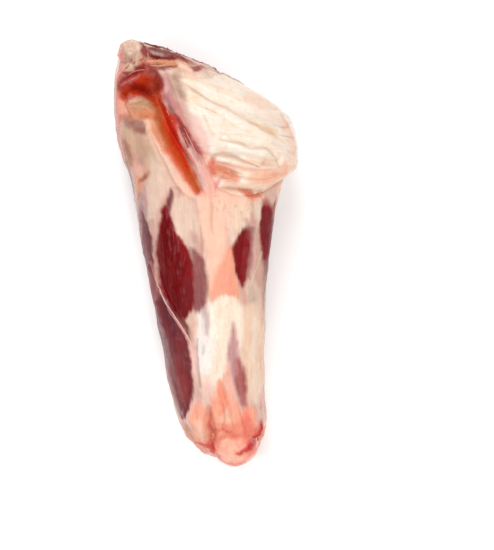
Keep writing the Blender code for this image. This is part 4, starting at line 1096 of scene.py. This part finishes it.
def add_piece(name, loft, values, grain, node, material):
    """A piece with its tissue and its grain on its points. Where a node is named, it stands for that."""
    points, faces = loft
    mesh = bpy.data.meshes.new(name)
    mesh.from_pydata(points.tolist(), [], faces)
    mesh.shade_smooth()
    colours = np.concatenate([values[:, :3], np.ones((len(values), 1))], axis=1)
    for attribute, kind, key, held in (
        ("tint", "FLOAT_COLOR", "color", colours),
        ("tissue", "FLOAT_VECTOR", "vector", values[:, 3:]),
        ("grain", "FLOAT_VECTOR", "vector", grain),
    ):
        layer = mesh.attributes.new(attribute, kind, "POINT")
        layer.data.foreach_set(key, held.astype(np.float32).ravel())
    mesh.materials.append(material)
    piece = bpy.data.objects.new(name, mesh)
    bpy.context.scene.collection.objects.link(piece)
    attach(piece, "root")
    if node:
        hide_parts(node)


def grain_of(points, share):
    """Where points are on a shank of constant girth, in millimetres: the fibres run along its Y."""
    grown = np.maximum(np.maximum.accumulate(RIB_SAMPLES[:, 2]), GRAIN_SLIMMEST)
    girth = np.interp(share, RIB_SHARES, grown) * HALF_WIDTH
    held = np.minimum(share, GRAIN_STRAIGHT_FROM)
    offset, top, bottom = (np.interp(held, RIB_SHARES, RIB_SAMPLES[:, k]) for k in (1, 4, 5))
    level = bottom + WIDEST_AT * (top - bottom)
    x, y, z = np.moveaxis(points, -1, 0)
    scale = GRAIN_RADIUS / girth
    return np.stack([(x - offset * HALF_WIDTH) * scale, y / MM, (z - level * HEIGHT) * scale], axis=-1)


def pad_ring(around, share):
    """How far out a place is on the fat pad: 0 at its middle, 1 on its outline, more beyond."""
    scale = np.array([1.0, MEAT_LENGTH / MM * RING_STRETCH])
    outline = fat_outline(np.linspace(0, len(FAT_OUTLINE), RING_SAMPLES, endpoint=False))
    edge = (outline - FAT_MIDDLE) * scale
    edge_turn = np.arctan2(edge[:, 1], edge[:, 0])
    order = np.argsort(edge_turn)
    around = np.where(around > RING_BACK, around - 360, around)
    place = (np.stack([around, share], axis=-1) - FAT_MIDDLE) * scale
    turn = np.arctan2(place[..., 1], place[..., 0])
    reach = np.interp(turn, edge_turn[order], np.linalg.norm(edge, axis=-1)[order], period=2 * math.pi)
    return np.linalg.norm(place, axis=-1) / reach


def cut_across(values, points, out):
    """Paints the elbow's cut face: muscle ends, their seams and the rim of fat. Gives its height."""
    millimetres = points / MM
    ends = np.array(MUSCLE_ENDS, float)
    place = millimetres + SEAM_SWAY * wobble(millimetres, SEAM_SWAY_LENGTH, 50)
    place = (place + SEAM_QUIVER * wobble(millimetres, SEAM_QUIVER_LENGTH, 53))[..., [0, 2]]
    distance = np.linalg.norm(place[..., None, :] - ends[:, :2], axis=-1) - ends[:, 2]
    nearest = np.argmin(distance, axis=-1)
    ranked = np.sort(distance, axis=-1)
    inside = ranked[..., 1] - ranked[..., 0]
    facing = out[..., 1] - FACE_TOP_MORE * smooth(*FACE_TOP, out[..., 2])
    facing += FACE_RAGGED * fractal(millimetres / FACE_RAGGED_LENGTH, 3, 60)
    cut = smooth(FACE_FROM, FACE_WHOLE, facing)
    for turn, name in enumerate(MUSCLE_END_TISSUES):
        blend(values, name, cut * (nearest % len(MUSCLE_END_TISSUES) == turn))
    mottle = smooth(*FACE_MOTTLE_RISE, fractal(millimetres / FACE_MOTTLE_LENGTH, 3, 58))
    blend(values, "rosewood", FACE_MOTTLE * cut * mottle)
    marbling = np.abs(fractal(millimetres * np.array(MARBLING_WAVES), 3, 62))
    marbled = smooth(*MARBLED_RISE, noise(millimetres / MARBLED_LENGTH, 64))
    marbled = smooth(MARBLING_WIDTH, 0.0, marbling) * marbled
    blend(values, "lilac_pink", MARBLING * cut * marbled)
    from_seam = inside - (SEAM_WIDTH + SEAM_UNEVEN * noise(millimetres / SEAM_UNEVEN_LENGTH, 56))
    blend(values, "seam_red", SEAM_RED * cut * smooth(*SEAM_RED_EDGE, from_seam))
    blend(values, "seam", SEAM_PALE * cut * smooth(*SEAM_PALE_EDGE, from_seam))
    rim = smooth(FACE_FROM - RIM_STARTS, FACE_FROM - RIM_WHOLE, facing)
    rim *= smooth(FACE_WHOLE + RIM_EDGE, FACE_WHOLE - RIM_EDGE, facing)
    blend(values, "cream", RIM * rim)
    bulge = FACE_BULGE * (smooth(0, FACE_BULGE_REACH, inside) - FACE_BULGE_LEVEL)
    return cut * (bulge + FACE_GRAIN * fractal(millimetres / FACE_GRAIN_LENGTH, 2, 66))


def meat_places():
    """The places (around, share) of the meat's points, row by row."""
    shares = np.linspace(0, 1, SPLINE_SAMPLES)
    profile = spline(RIBS, np.interp(shares, RIB_SHARES, RIB_NUMBERS))
    slope = np.gradient(np.maximum(profile[:, 2], 0) * HALF_WIDTH, shares * MEAT_LENGTH)
    crowded = crowding(shares, CROWDED_SHARE, CROWDED_LENGTH, CROWDED_RIBS)
    shares = spread_evenly(shares, np.sqrt(1 + slope**2) * crowded, MEAT_RIBS + 1)
    angles = np.linspace(0, 360, SPLINE_SAMPLES)
    crowded = crowding(angles, CROWDED_AROUND, CROWDED_SPREAD, CROWDED_COLUMNS)
    return np.meshgrid(spread_evenly(angles, crowded, MEAT_COLUMNS)[:-1], shares[1:-1])


def make_meat(material):
    """The lean meat. Gives its points and how far each faces up."""
    around, share = meat_places()
    smooth_points, out = skin(around, share), outward(around, share)
    millimetres = smooth_points / MM
    grain = grain_of(smooth_points, share)
    values = mottled("fascia", MEAT_PATCHES, grain)
    ends_height = cut_across(values, smooth_points, out)
    form = relief(MEAT_RELIEF, on_skin, millimetres)
    form -= FACE_DRAWN_IN * smooth(*FACE_DRAWN_FACING, out[..., 1])
    values, height = dress(values, raised(smooth_points, form, out), share, grain, out, HIDDEN_PAINT)
    fibre, fat, torn = (values[..., k] for k in (3, 4, 5))
    height += ends_height + form
    below = smooth(*UNDERSIDE_FACING, out[..., 2])
    height += below * relief(HIDDEN_RELIEF, on_skin, millimetres)
    height += LOW_WAVE * (1 + below) * noise(millimetres / LOW_WAVE_LENGTH, 1)
    height += FINE_WAVE * fractal(millimetres / FINE_WAVE_LENGTH, 2, 2)
    height -= MUSCLE_SUNK * smooth(*MUSCLE_SUNK_FIBRE, fibre)
    streaks = fractal(stretched(grain, FIBRE_PITCH, FIBRE_STRETCH), 2, 4)
    height += FIBRE_DEPTH * (FIBRE_LEAST + fibre) * streaks
    height += LOBULE_DEPTH * fat * fractal(millimetres / LOBULE_LENGTH, 2, 5)
    height += TORN_DEPTH * torn * np.minimum(ridges(millimetres / TORN_LENGTH, 3, 6) - TORN_LEVEL, TORN_TOP)
    knobbly = smooth(*KNOBBLY_SHARES, share)
    height += KNOBBLY_DEPTH * knobbly * fractal(millimetres / KNOBBLY_LENGTH, 3, 7)
    ring = pad_ring(around, share)
    height += SKIRT_HEIGHT * np.exp(-np.maximum(ring - 1, 0) / SKIRT_LENGTH)
    height -= (PAD_CLEARANCE + SKIRT_HEIGHT) * smooth(*PAD_CLEAR_RINGS, ring)
    points = raised(smooth_points, height, out)
    points[..., 2] = np.maximum(points[..., 2], 0)
    loft = closed_loft(points, skin(0, 0), skin(0, 1))
    add_piece("meat", loft, with_ends(values), with_ends(grain), "lean_meat", material)
    return points, out[..., 2]


def settled(places, keys, surface):
    """A line over the surface points whose keys lie nearest to the places."""
    line = surface[[np.argmin(np.sum((keys - place) ** 2, axis=-1)) for place in places]]
    for _ in range(3):
        line[1:-1] = (line[:-2] + 2 * line[1:-1] + line[2:]) / 4
    return line


def strand(line, radii):
    """Rings of a thin round strand along a line, in metres."""
    along = np.gradient(line, axis=0)
    side = np.cross(along, STRAND_UP)
    side /= np.maximum(np.linalg.norm(side, axis=-1, keepdims=True), TINY)
    up = np.cross(side, along)
    up /= np.maximum(np.linalg.norm(up, axis=-1, keepdims=True), TINY)
    turn = np.linspace(0, 2 * math.pi, STRAND_SIDES, endpoint=False)[None, :, None]
    radii = radii[:, None, None] * MM
    return line[:, None] + radii * (np.cos(turn) * side[:, None] + np.sin(turn) * up[:, None])


def sinews(surface):
    """The sinews' tissues and rings, over the upper side of the meat."""
    pixels = seen(surface)
    for name, places in SINEWS:
        places = spline(places, np.linspace(0, len(places) - 1, STRAND_STEPS * (len(places) - 1)))
        line = settled(places[:, :2], pixels, surface)
        line[:, 2] += SINEW_STANDS * places[:, 2] * MM
        yield name, strand(line, places[:, 2])


def torn_fibres(surface):
    """The torn fibres' tissues and rings: each starts in the meat, lifts a little and lies down again."""
    share = np.linspace(0, 1, STRAND_STEPS)
    for name, count, spread, places in TORN_FIBRES:
        starts = skin(*spline(places, random.uniform(0, len(places) - 1, count)).T)
        for start in starts + random.normal(size=starts.shape) * spread / 2 * MM:
            run = random.normal(size=3) * FIBRE_HEADING
            run *= FIBRE_RUN * random.uniform(*FIBRE_RUN_FACTORS) * MM / np.linalg.norm(run)
            line = settled(start + share[:, None] * run, surface, surface)
            line = 0.5 * (share[:, None] * (line[-1] - line[0]) + (line + line[0]))
            line[:, 2] += FIBRE_LIFT * MM * np.sin(math.pi * share)
            radius = FIBRE_RADIUS * random.uniform(*FIBRE_RADIUS_FACTORS)
            yield name, strand(line, radius * np.sin(math.pi * (FIBRE_START + FIBRE_SPAN * share)))


def make_strands(surface, facing_up, material):
    """The sinews and torn fibres, as one piece over the meat's points."""
    points, faces, values = [], [], []
    sinews_lie_on, fibres_lie_on = surface[facing_up > SINEWS_FACE], surface[facing_up > FIBRES_FACE]
    for name, rings in (*sinews(sinews_lie_on), *torn_fibres(fibres_lie_on)):
        loft, loft_faces = closed_loft(rings[:, ::-1], rings[0].mean(0), rings[-1].mean(0))
        first = sum(map(len, points))
        faces += [[first + corner for corner in face] for face in loft_faces]
        points.append(loft)
        values.append(np.tile(tissue_values(name), (len(loft), 1)))
    points = np.concatenate(points)
    add_piece("strands", (points, faces), np.concatenate(values), points / MM, None, material)


def fold_coordinates(points):
    """Coordinates in millimetres over the fat pad: across its folds, along them, and out of the table."""
    x, y, z = np.moveaxis(points / MM, -1, 0)
    slope = FOLD_SLOPE + FOLD_SLOPE_MORE * smooth(*FOLD_SLOPE_RISE, y)
    return np.stack([y + slope * x, x, FOLD_HEIGHT_SHARE * z], axis=-1)


def folded(coordinates, pitch, length):
    """Noise coordinates for folds a pitch apart."""
    return coordinates / np.array([pitch, length, length])


def pad_relief(smooth_points, folds, out):
    """The height in millimetres of the pad's wrinkles, lumps and fine creases."""
    wavy = folds + FOLD_WANDER * wobble(smooth_points / MM, FOLD_WANDER_LENGTH, 15)
    side = smooth(*PAD_SIDE_FACING, out[..., 2])
    wrinkles = noise(folded(wavy, WRINKLE_PITCH, WRINKLE_LENGTH), 16)
    lumps = fractal(folded(wavy, SIDE_LUMP_LENGTH, 2 * SIDE_LUMP_LENGTH), 2, 21)
    creases = np.exp(-((noise(folded(wavy, CREASE_PITCH, CREASE_LENGTH), 17) / CREASE_WIDTH) ** 2))
    height = WRINKLE_DEPTH * wrinkles * (1 + side) + SIDE_LUMP * side * lumps
    height -= CREASE_DEPTH * creases * smooth(*CREASED_RISE, noise(folds / CREASED_LENGTH, 18))
    return height + PAD_GRAIN * fractal(smooth_points / (PAD_GRAIN_LENGTH * MM), 2, 19)


def make_fat(material):
    """The fat pad: rings from its middle to its wavy outline, then a bed under them."""
    rings = np.linspace(0, 1, FAT_RINGS + 1)[1:]
    rings = RINGS_EVEN * rings + RINGS_CROWDED * np.sin(rings * math.pi / 2)
    outline = fat_outline(np.linspace(0, len(FAT_OUTLINE), FAT_SPOKES, endpoint=False))
    middle = np.array(FAT_MIDDLE)
    edge_points = skin(*outline.T)
    reach = np.linalg.norm(edge_points - skin(*middle), axis=-1)
    grown = OUTLINE_WAVE * MM * fractal(edge_points / (OUTLINE_WAVE_LENGTH * MM), 3, 9)
    outline = middle + (outline - middle) * (1 + grown / reach)[:, None]
    around, share = np.moveaxis(middle + rings[:, None, None] * (outline - middle), -1, 0)
    smooth_points, out = skin(around, share), outward(around, share)
    folds = fold_coordinates(smooth_points)
    blunt = smooth(*PAD_BLUNT_AROUND, outline[:, 0]) * smooth(*PAD_BLUNT_SHARE, outline[:, 1])
    rounded = np.sqrt(1 - rings[:, None] ** FAT_EDGE_POWER)
    edge = blunt * rounded + (1 - blunt) * smooth(1.0, PAD_TAPER_FROM, rings[:, None])
    height = fat_height(around, share)
    values = mottled("pad", PAD_PATCHES, folds)
    standing = raised(smooth_points, height * edge, out)
    values, creases = dress(values, standing, share, folds, out, PAD_SIDE_PAINT)
    height += creases + pad_relief(smooth_points, folds, out)
    height = (FAT_BEDDING / MM + height) * edge - FAT_BEDDING / MM
    points = raised(smooth_points, height, out)
    bed_shares = np.linspace(1, 0, BED_RINGS + 2)[1:-1, None, None]
    bed_places = np.moveaxis(middle + bed_shares * (outline - middle), -1, 0)
    bed = skin(*bed_places) - BED_DEPTH * FAT_BEDDING * outward(*bed_places)
    centre, centre_out = skin(*middle), outward(*middle)
    top = centre + fat_height(*middle) * MM * centre_out
    bottom = centre - BED_DEPTH * FAT_BEDDING * centre_out
    loft = closed_loft(np.concatenate([points, bed])[:, ::-1], top, bottom)
    values = np.concatenate([values, np.broadcast_to(values[-1], (len(bed), *values[-1].shape))])
    folds = np.concatenate([folds, fold_coordinates(bed)])
    values, folds = with_ends(values[:, ::-1]), with_ends(folds[:, ::-1])
    add_piece("fat_pad", loft, values, folds, "fat_cap", material)


def bone_rings():
    """The bone's smooth rings, from the elbow to the knuckle, and the directions out of them."""
    elbow, knuckle = BONE[0][1] * MM, BONE[-1][1] * MM
    turn = np.linspace(0, 1, BONE_RINGS + 2)[1:-1]
    y = elbow + (knuckle - elbow) * (turn - BONE_CROWDED * np.sin(2 * math.pi * turn))
    numbers = np.interp(-y, [-row[1] * MM for row in BONE], range(len(BONE)))
    rows = spline(BONE, numbers) * MM
    dome = np.sqrt(1 - (1 - np.clip((elbow - y) / ELBOW_DOME, 0, 1)) ** 2)
    dome *= np.sqrt(1 - (1 - np.clip((y - knuckle) / KNUCKLE_DOME, 0, 1)) ** 2)
    notched = smooth(KNUCKLE_NOTCH_FROM, KNUCKLE_NOTCH_FROM - KNUCKLE_NOTCH_LENGTH, y)
    around = np.linspace(0, 360, BONE_COLUMNS, endpoint=False)
    from_pole = np.abs(np.mod(around, 180) - 90)
    notch = 1 - KNUCKLE_NOTCH * notched[:, None] * np.exp(-((from_pole / NOTCH_SPREAD) ** 2))
    angle = np.radians(around)
    y = np.broadcast_to(y[:, None], notch.shape)
    across = rows[:, 3:4] * dome[:, None] * notch * np.cos(angle)
    rise = rows[:, 4:5] * dome[:, None] * notch * np.sin(angle)
    points = np.stack([rows[:, :1] + across, y, rows[:, 2:3] + rise], axis=-1)
    flat = np.stack([np.cos(angle), np.zeros_like(angle), np.sin(angle)], axis=-1)
    return points, np.broadcast_to(flat, points.shape)


def make_bone(material):
    """The bone, with gristle round its knuckle end and ragged tissue on its elbow tip."""
    points, out = bone_rings()
    millimetres = points / MM
    y = millimetres[..., 1]
    values = mottled("bone", BONE_PATCHES, millimetres)
    blend(values, "gristle", smooth(*GRISTLE_Y, y))
    patch = smooth(*IVORY_RISE, fractal(millimetres / IVORY_LENGTH, 2, 34))
    blend(values, "ivory", IVORY * smooth(*IVORY_Y, y) * patch)
    blend(values, "coral", CORAL * smooth(*CORAL_Y[0], y) * smooth(*CORAL_Y[1], y))
    values, creases = dress(values, points, np.ones_like(y), millimetres, out)
    height = BONE_WAVE * fractal(millimetres / BONE_WAVE_LENGTH, 3, 31) + BONE_CREASES * creases
    tip = TIP_WAVE * fractal(millimetres / TIP_WAVE_LENGTH, 3, 36)
    tip += TIP_RIDGES * (ridges(millimetres / TIP_RIDGES_LENGTH, 3, 33) - TIP_RIDGES_LEVEL)
    height += smooth(*ELBOW_TIP_Y, y) * tip
    height += KNUCKLE_WAVE * smooth(*KNUCKLE_END_Y, y) * fractal(millimetres / KNUCKLE_WAVE_LENGTH, 2, 38)
    rings = raised(points, height, out)[:, ::-1]
    start, end = (np.array(row[:3]) * MM for row in (BONE[0], BONE[-1]))
    values, grain = with_ends(values[:, ::-1]), with_ends(millimetres[:, ::-1])
    add_piece("bone", closed_loft(rings, start, end), values, grain, "shank_bone", material)


# ---- Materials ----
# Name: roughness, specular level, subsurface weight and radius, strength of the capillaries and fat grains
FLESH = {
    "raw_meat": (0.36, 0.05, 0.06, (1.0, 0.35, 0.25), 0.30, 0.35),
    "raw_fat": (0.40, 0.32, 0.12, (1.0, 0.6, 0.4), 0.25, 0.55),
    "raw_bone": (0.34, 0.45, 0.10, (1.0, 0.6, 0.45), 0.15, 0.30),
}
SUBSURFACE_SCALE, FLESH_IOR = 0.0012, 1.42
COAT_WEIGHT, COAT_ROUGHNESS = 0.10, 0.24
# Noise: waves to a millimetre across, along and across the fibres, then detail and roughness
FINE_STREAKS = ((1.5, 0.10, 1.5), 3.0, 0.62)
BROAD_STREAKS = ((0.34, 0.05, 0.34), 2.0, 0.5)
THREADS = ((2.6, 0.12, 2.6), 2.0, 0.5)
# The same, alike in every direction
MOTTLE, SPECKLE, WINDING = (0.22, 3.0, 0.55), (1.4, 2.0, 0.6), (0.13, 4.0, 0.6)
NOISE_MIDDLE = 0.5
# Streaks and blotches: how strong they are on bare muscle, and how strong everywhere
FINE_SHARE, BROAD_SHARE, STREAK_CONTRAST = 0.62, 0.38, 2.0
STREAK_ON_MUSCLE, STREAK_ANYWHERE = 0.62, 0.10
BLOTCH_ON_MUSCLE, BLOTCH_ANYWHERE = 0.22, 0.20
# Silver skin, fat grains, capillaries and pits: where their noise has them, their strength and colour
VEIL_THREADS, VEIL_PATCHES, VEIL, VEIL_COLOUR = (0.56, 0.72), (0.45, 0.62), 0.12, (205, 160, 158)
GRAIN_SCALE, BETWEEN_GRAINS, GRAIN_COLOUR = 0.55, (0.45, 0.85), (246, 200, 158)
CAPILLARY_WIDTH, CAPILLARY_PATCHES, CAPILLARY_COLOUR = (0.012, 0.0), (0.48, 0.60), (188, 60, 58)
PITS, PIT, PIT_COLOUR = (0.55, 0.36), 0.55, (128, 20, 22)
# The wet film: how the roughness varies
SPECKLE_GLOSS, MOTTLE_GLOSS, TORN_GLOSS = 0.30, 0.25, -0.06
# Bump: by fibre, fat and torn, then its strength and its depth in metres
FIBRE_BUMP, LEAST_FIBRE_BUMP, FAT_BUMP, TORN_BUMP, LEAST_BUMP = 0.9, 0.25, -0.5, 1.6, 0.22
BUMP_STRENGTH, BUMP_DISTANCE = 0.75, 0.00028
# The table top
TABLE_CLOUDS, TABLE_DARKER, TABLE_LIGHTER = (3.0, 2.0), (0.93, 0.93, 0.93, 1), (0.95, 0.95, 0.95, 1)
TABLE_ROUGHNESS, TABLE_SPECULAR = 0.7, 0.2


class Graph:
    """Builds a material's nodes. A socket or a plain value can be given for any input."""

    def __init__(self, name):
        self.material = bpy.data.materials.new(name)
        self.material.use_nodes = True
        self.tree = self.material.node_tree
        self.shader = self.tree.nodes["Principled BSDF"]

    def put(self, socket, value):
        if isinstance(value, bpy.types.NodeSocket):
            self.tree.links.new(value, socket)
        else:
            socket.default_value = value

    def finish(self, **inputs):
        """Sets the shader's inputs, and gives the material."""
        for key, value in inputs.items():
            self.put(self.shader.inputs[key.replace("_", " ")], value)
        return self.material

    def node(self, kind, output=0, settings=(), **inputs):
        """A node's output. Its inputs are named, or numbered as in i0."""
        made = self.tree.nodes.new(kind)
        for key, value in dict(settings).items():
            setattr(made, key, value)
        for key, value in inputs.items():
            self.put(made.inputs[int(key[1:]) if key[1:].isdigit() else key.replace("_", " ")], value)
        return made.outputs[output]

    def attribute(self, name, output="Vector"):
        return self.node("ShaderNodeAttribute", output, {"attribute_name": name})

    def math(self, operation, a, b=0.0, c=0.0):
        return self.node("ShaderNodeMath", 0, {"operation": operation}, i0=a, i1=b, i2=c)

    def product(self, first, *others):
        """The product of two or more values."""
        for other in others:
            first = self.math("MULTIPLY", first, other)
        return first

    def line(self, value, slope, start):
        """The value times a slope, from a start."""
        return self.math("MULTIPLY_ADD", value, slope, start)

    def centred(self, noise):
        """Noise as much above 0 as below it."""
        return self.math("SUBTRACT", noise, NOISE_MIDDLE)

    def noise(self, vector, scale, detail=2.0, roughness=0.5):
        settings = {"Vector": vector, "Scale": scale, "Detail": detail, "Roughness": roughness}
        return self.node("ShaderNodeTexNoise", "Fac", **settings)

    def streaks(self, grain, scales, detail, roughness):
        """Noise drawn out along the fibres."""
        drawn = self.node("ShaderNodeVectorMath", 0, {"operation": "MULTIPLY"}, i0=grain, i1=scales)
        return self.noise(drawn, 1.0, detail, roughness)

    def spread(self, value, low, high):
        """The value, moved smoothly from a range to 0 to 1 and held within it."""
        settings = {"interpolation_type": "SMOOTHSTEP"}
        return self.node("ShaderNodeMapRange", 0, settings, i0=value, i1=low, i2=high, i3=0.0, i4=1.0)

    def mix(self, factor, a, b):
        """Colour b over colour a."""
        made = self.tree.nodes.new("ShaderNodeMix")
        made.data_type = "RGBA"
        self.put(made.inputs["Factor"], factor)
        self.put(made.inputs[6], a)
        self.put(made.inputs[7], b)
        return made.outputs[2]


def linear_colour(levels):
    """A plain colour for display levels, as bright in this scene's light as a tissue's."""
    return (*(to_linear(levels) / LIGHT_LEVEL).tolist(), 1.0)


def make_flesh(name, roughness, specular, subsurface, radius, capillaries, granules):
    """Raw tissue: fibres streak it, fat grains it, capillaries cross it, and it is wet in patches."""
    graph = Graph(name)
    tint, grain = graph.attribute("tint", "Color"), graph.attribute("grain")
    tissue = graph.node("ShaderNodeSeparateXYZ", 0, {}, i0=graph.attribute("tissue")).node
    fibre, fat, torn = tissue.outputs[0], tissue.outputs[1], tissue.outputs[2]
    fine, broad = graph.streaks(grain, *FINE_STREAKS), graph.streaks(grain, *BROAD_STREAKS)
    mottle, speckle = graph.noise(grain, *MOTTLE), graph.noise(grain, *SPECKLE)
    # Fibres: light and dark streaks, strongest on bare muscle
    streak = graph.math("ADD", graph.product(fine, FINE_SHARE), graph.product(broad, BROAD_SHARE))
    strength = graph.line(fibre, STREAK_ON_MUSCLE, STREAK_ANYWHERE)
    shade = graph.line(graph.product(graph.centred(streak), STREAK_CONTRAST), strength, 1.0)
    blotch = graph.line(graph.centred(mottle), graph.line(fibre, BLOTCH_ON_MUSCLE, BLOTCH_ANYWHERE), 1.0)
    shade = graph.product(shade, blotch)
    colour = graph.node("ShaderNodeVectorMath", 0, {"operation": "SCALE"}, i0=tint, Scale=shade)
    # Silver skin over the muscle, in patches of fine pale threads
    threads = graph.spread(graph.streaks(grain, *THREADS), *VEIL_THREADS)
    veil = graph.product(threads, graph.spread(broad, *VEIL_PATCHES), fibre, VEIL)
    colour = graph.mix(veil, colour, linear_colour(VEIL_COLOUR))
    # Fat grains, warmer between the grains
    rounded = {"feature": "SMOOTH_F1"}
    cells = graph.node("ShaderNodeTexVoronoi", "Distance", rounded, Vector=grain, Scale=GRAIN_SCALE)
    warm = graph.product(graph.spread(cells, *BETWEEN_GRAINS), graph.product(fat, granules))
    colour = graph.mix(warm, colour, linear_colour(GRAIN_COLOUR))
    # Capillaries: thin red lines where a slow noise crosses its middle
    winding = graph.math("ABSOLUTE", graph.centred(graph.noise(grain, *WINDING)))
    vessels = graph.product(graph.spread(winding, *CAPILLARY_WIDTH), graph.spread(mottle, *CAPILLARY_PATCHES))
    vessels = graph.product(vessels, graph.math("SUBTRACT", 1.0, fibre), capillaries)
    colour = graph.mix(vessels, colour, linear_colour(CAPILLARY_COLOUR))
    # Torn places: dark red in the pits
    pits = graph.product(graph.spread(speckle, *PITS), graph.product(torn, PIT))
    colour = graph.mix(pits, colour, linear_colour(PIT_COLOUR))
    # Wet film
    gloss = graph.line(graph.centred(speckle), SPECKLE_GLOSS, roughness)
    gloss = graph.line(graph.centred(mottle), MOTTLE_GLOSS, gloss)
    gloss = graph.line(torn, TORN_GLOSS, gloss)
    # Bump: fibres, grains and tears too fine for the mesh
    height = graph.product(fine, graph.line(fibre, FIBRE_BUMP, LEAST_FIBRE_BUMP))
    height = graph.line(cells, graph.product(fat, FAT_BUMP), height)
    height = graph.line(speckle, graph.line(torn, TORN_BUMP, LEAST_BUMP), height)
    bump = {"Strength": BUMP_STRENGTH, "Distance": BUMP_DISTANCE, "Height": height}
    return graph.finish(
        Base_Color=colour,
        Roughness=graph.spread(gloss, 0.0, 1.0),
        Normal=graph.node("ShaderNodeBump", **bump),
        Specular_IOR_Level=specular,
        IOR=FLESH_IOR,
        Coat_Weight=COAT_WEIGHT,
        Coat_Roughness=COAT_ROUGHNESS,
        Subsurface_Weight=subsurface,
        Subsurface_Radius=radius,
        Subsurface_Scale=SUBSURFACE_SCALE,
    )


def make_table_top():
    """Plain white, a little clouded."""
    graph = Graph("table_top")
    clouds = graph.noise(graph.node("ShaderNodeNewGeometry", "Position"), *TABLE_CLOUDS)
    white = graph.mix(clouds, TABLE_DARKER, TABLE_LIGHTER)
    return graph.finish(Base_Color=white, Roughness=TABLE_ROUGHNESS, Specular_IOR_Level=TABLE_SPECULAR)


# ---- Table, light and camera ----
TABLE_SIZE = 16.0
TABLE_GAP = 0.0002
# The softboxes: name, direction and power
SOFTBOXES = (("softbox_elbow", (-0.18, 0.60, 0.74), 58.0), ("softbox_knuckle", (0.32, -0.58, 0.72), 46.0))
SOFTBOX_DISTANCE, SOFTBOX_SIZE = 2.6, 1.9
# A small light whose glare falls on one place of the skin (around, share)
GLARE_PLACE = (110.0, 0.27)
GLARE_DISTANCE, GLARE_SIZE, GLARE_POWER = 2.4, 0.42, 11.0
DOME_COLOUR, DOME_STRENGTH = (1, 1, 1, 1), 0.50


def make_table():
    """A flat sheet just under the shank."""
    half = TABLE_SIZE / 2
    corners = [(-half, -half, 0), (half, -half, 0), (half, half, 0), (-half, half, 0)]
    mesh = bpy.data.meshes.new("table")
    mesh.from_pydata(corners, [], [(0, 1, 2, 3)])
    mesh.materials.append(make_table_top())
    table = bpy.data.objects.new("table", mesh)
    table.location.z = -TABLE_GAP
    bpy.context.scene.collection.objects.link(table)
    table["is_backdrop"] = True


def add_softbox(name, direction, distance, size, power):
    """A square light that faces the shank from a direction."""
    light = bpy.data.lights.new(name, "AREA")
    light.shape = "SQUARE"
    light.size = size
    light.energy = power
    lamp = bpy.data.objects.new(name, light)
    direction = Vector(direction).normalized()
    lamp.location = Vector(AIM) + direction * distance
    lamp.rotation_mode = "QUATERNION"
    lamp.rotation_quaternion = (-direction).to_track_quat("-Z", "Y")
    lamp.visible_camera = False
    bpy.context.scene.collection.objects.link(lamp)


def make_lights():
    """Two softboxes, the glare, and a dome that the camera sees at full white."""
    for name, direction, power in SOFTBOXES:
        add_softbox(name, direction, SOFTBOX_DISTANCE, SOFTBOX_SIZE, power)
    up = np.array([0.0, 0.0, 1.0])
    out = outward(*GLARE_PLACE)
    add_softbox("glare_light", 2 * (out @ up) * out - up, GLARE_DISTANCE, GLARE_SIZE, GLARE_POWER)
    world = bpy.data.worlds.new("dome")
    world.use_nodes = True
    bpy.context.scene.world = world
    tree = world.node_tree
    dome = tree.nodes["Background"]
    dome.inputs["Color"].default_value = DOME_COLOUR
    dome.inputs["Strength"].default_value = DOME_STRENGTH
    backdrop = tree.nodes.new("ShaderNodeBackground")
    backdrop.inputs["Color"].default_value = DOME_COLOUR
    path = tree.nodes.new("ShaderNodeLightPath")
    chosen = tree.nodes.new("ShaderNodeMixShader")
    tree.links.new(path.outputs["Is Camera Ray"], chosen.inputs["Fac"])
    tree.links.new(dome.outputs[0], chosen.inputs[1])
    tree.links.new(backdrop.outputs[0], chosen.inputs[2])
    tree.links.new(chosen.outputs[0], tree.nodes["World Output"].inputs["Surface"])


def make_camera():
    """Straight above the shank, turned so that it leans as photographed."""
    data = bpy.data.cameras.new("camera")
    data.lens = CAMERA_LENS
    data.sensor_width = SENSOR
    data.clip_end = CAMERA_CLIP_END
    camera = bpy.data.objects.new("camera", data)
    camera.location = Vector(AIM) + Vector((0, 0, CAMERA_HEIGHT))
    camera.rotation_euler = (0, 0, -math.radians(ROLL))
    bpy.context.scene.collection.objects.link(camera)
    bpy.context.scene.camera = camera


def main():
    """Dresses the solids and sets the stage."""
    meat, fat, bone = (make_flesh(name, *settings) for name, settings in FLESH.items())
    make_strands(*make_meat(meat), fat)
    make_fat(fat)
    make_bone(bone)
    make_table()
    make_lights()
    make_camera()
    bpy.context.scene.view_settings.view_transform = "Standard"
    boxes = {"cad": CAD_BOX, "visual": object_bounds()}
    {key: [list(corner) for corner in box] for key, box in boxes.items()}


main()
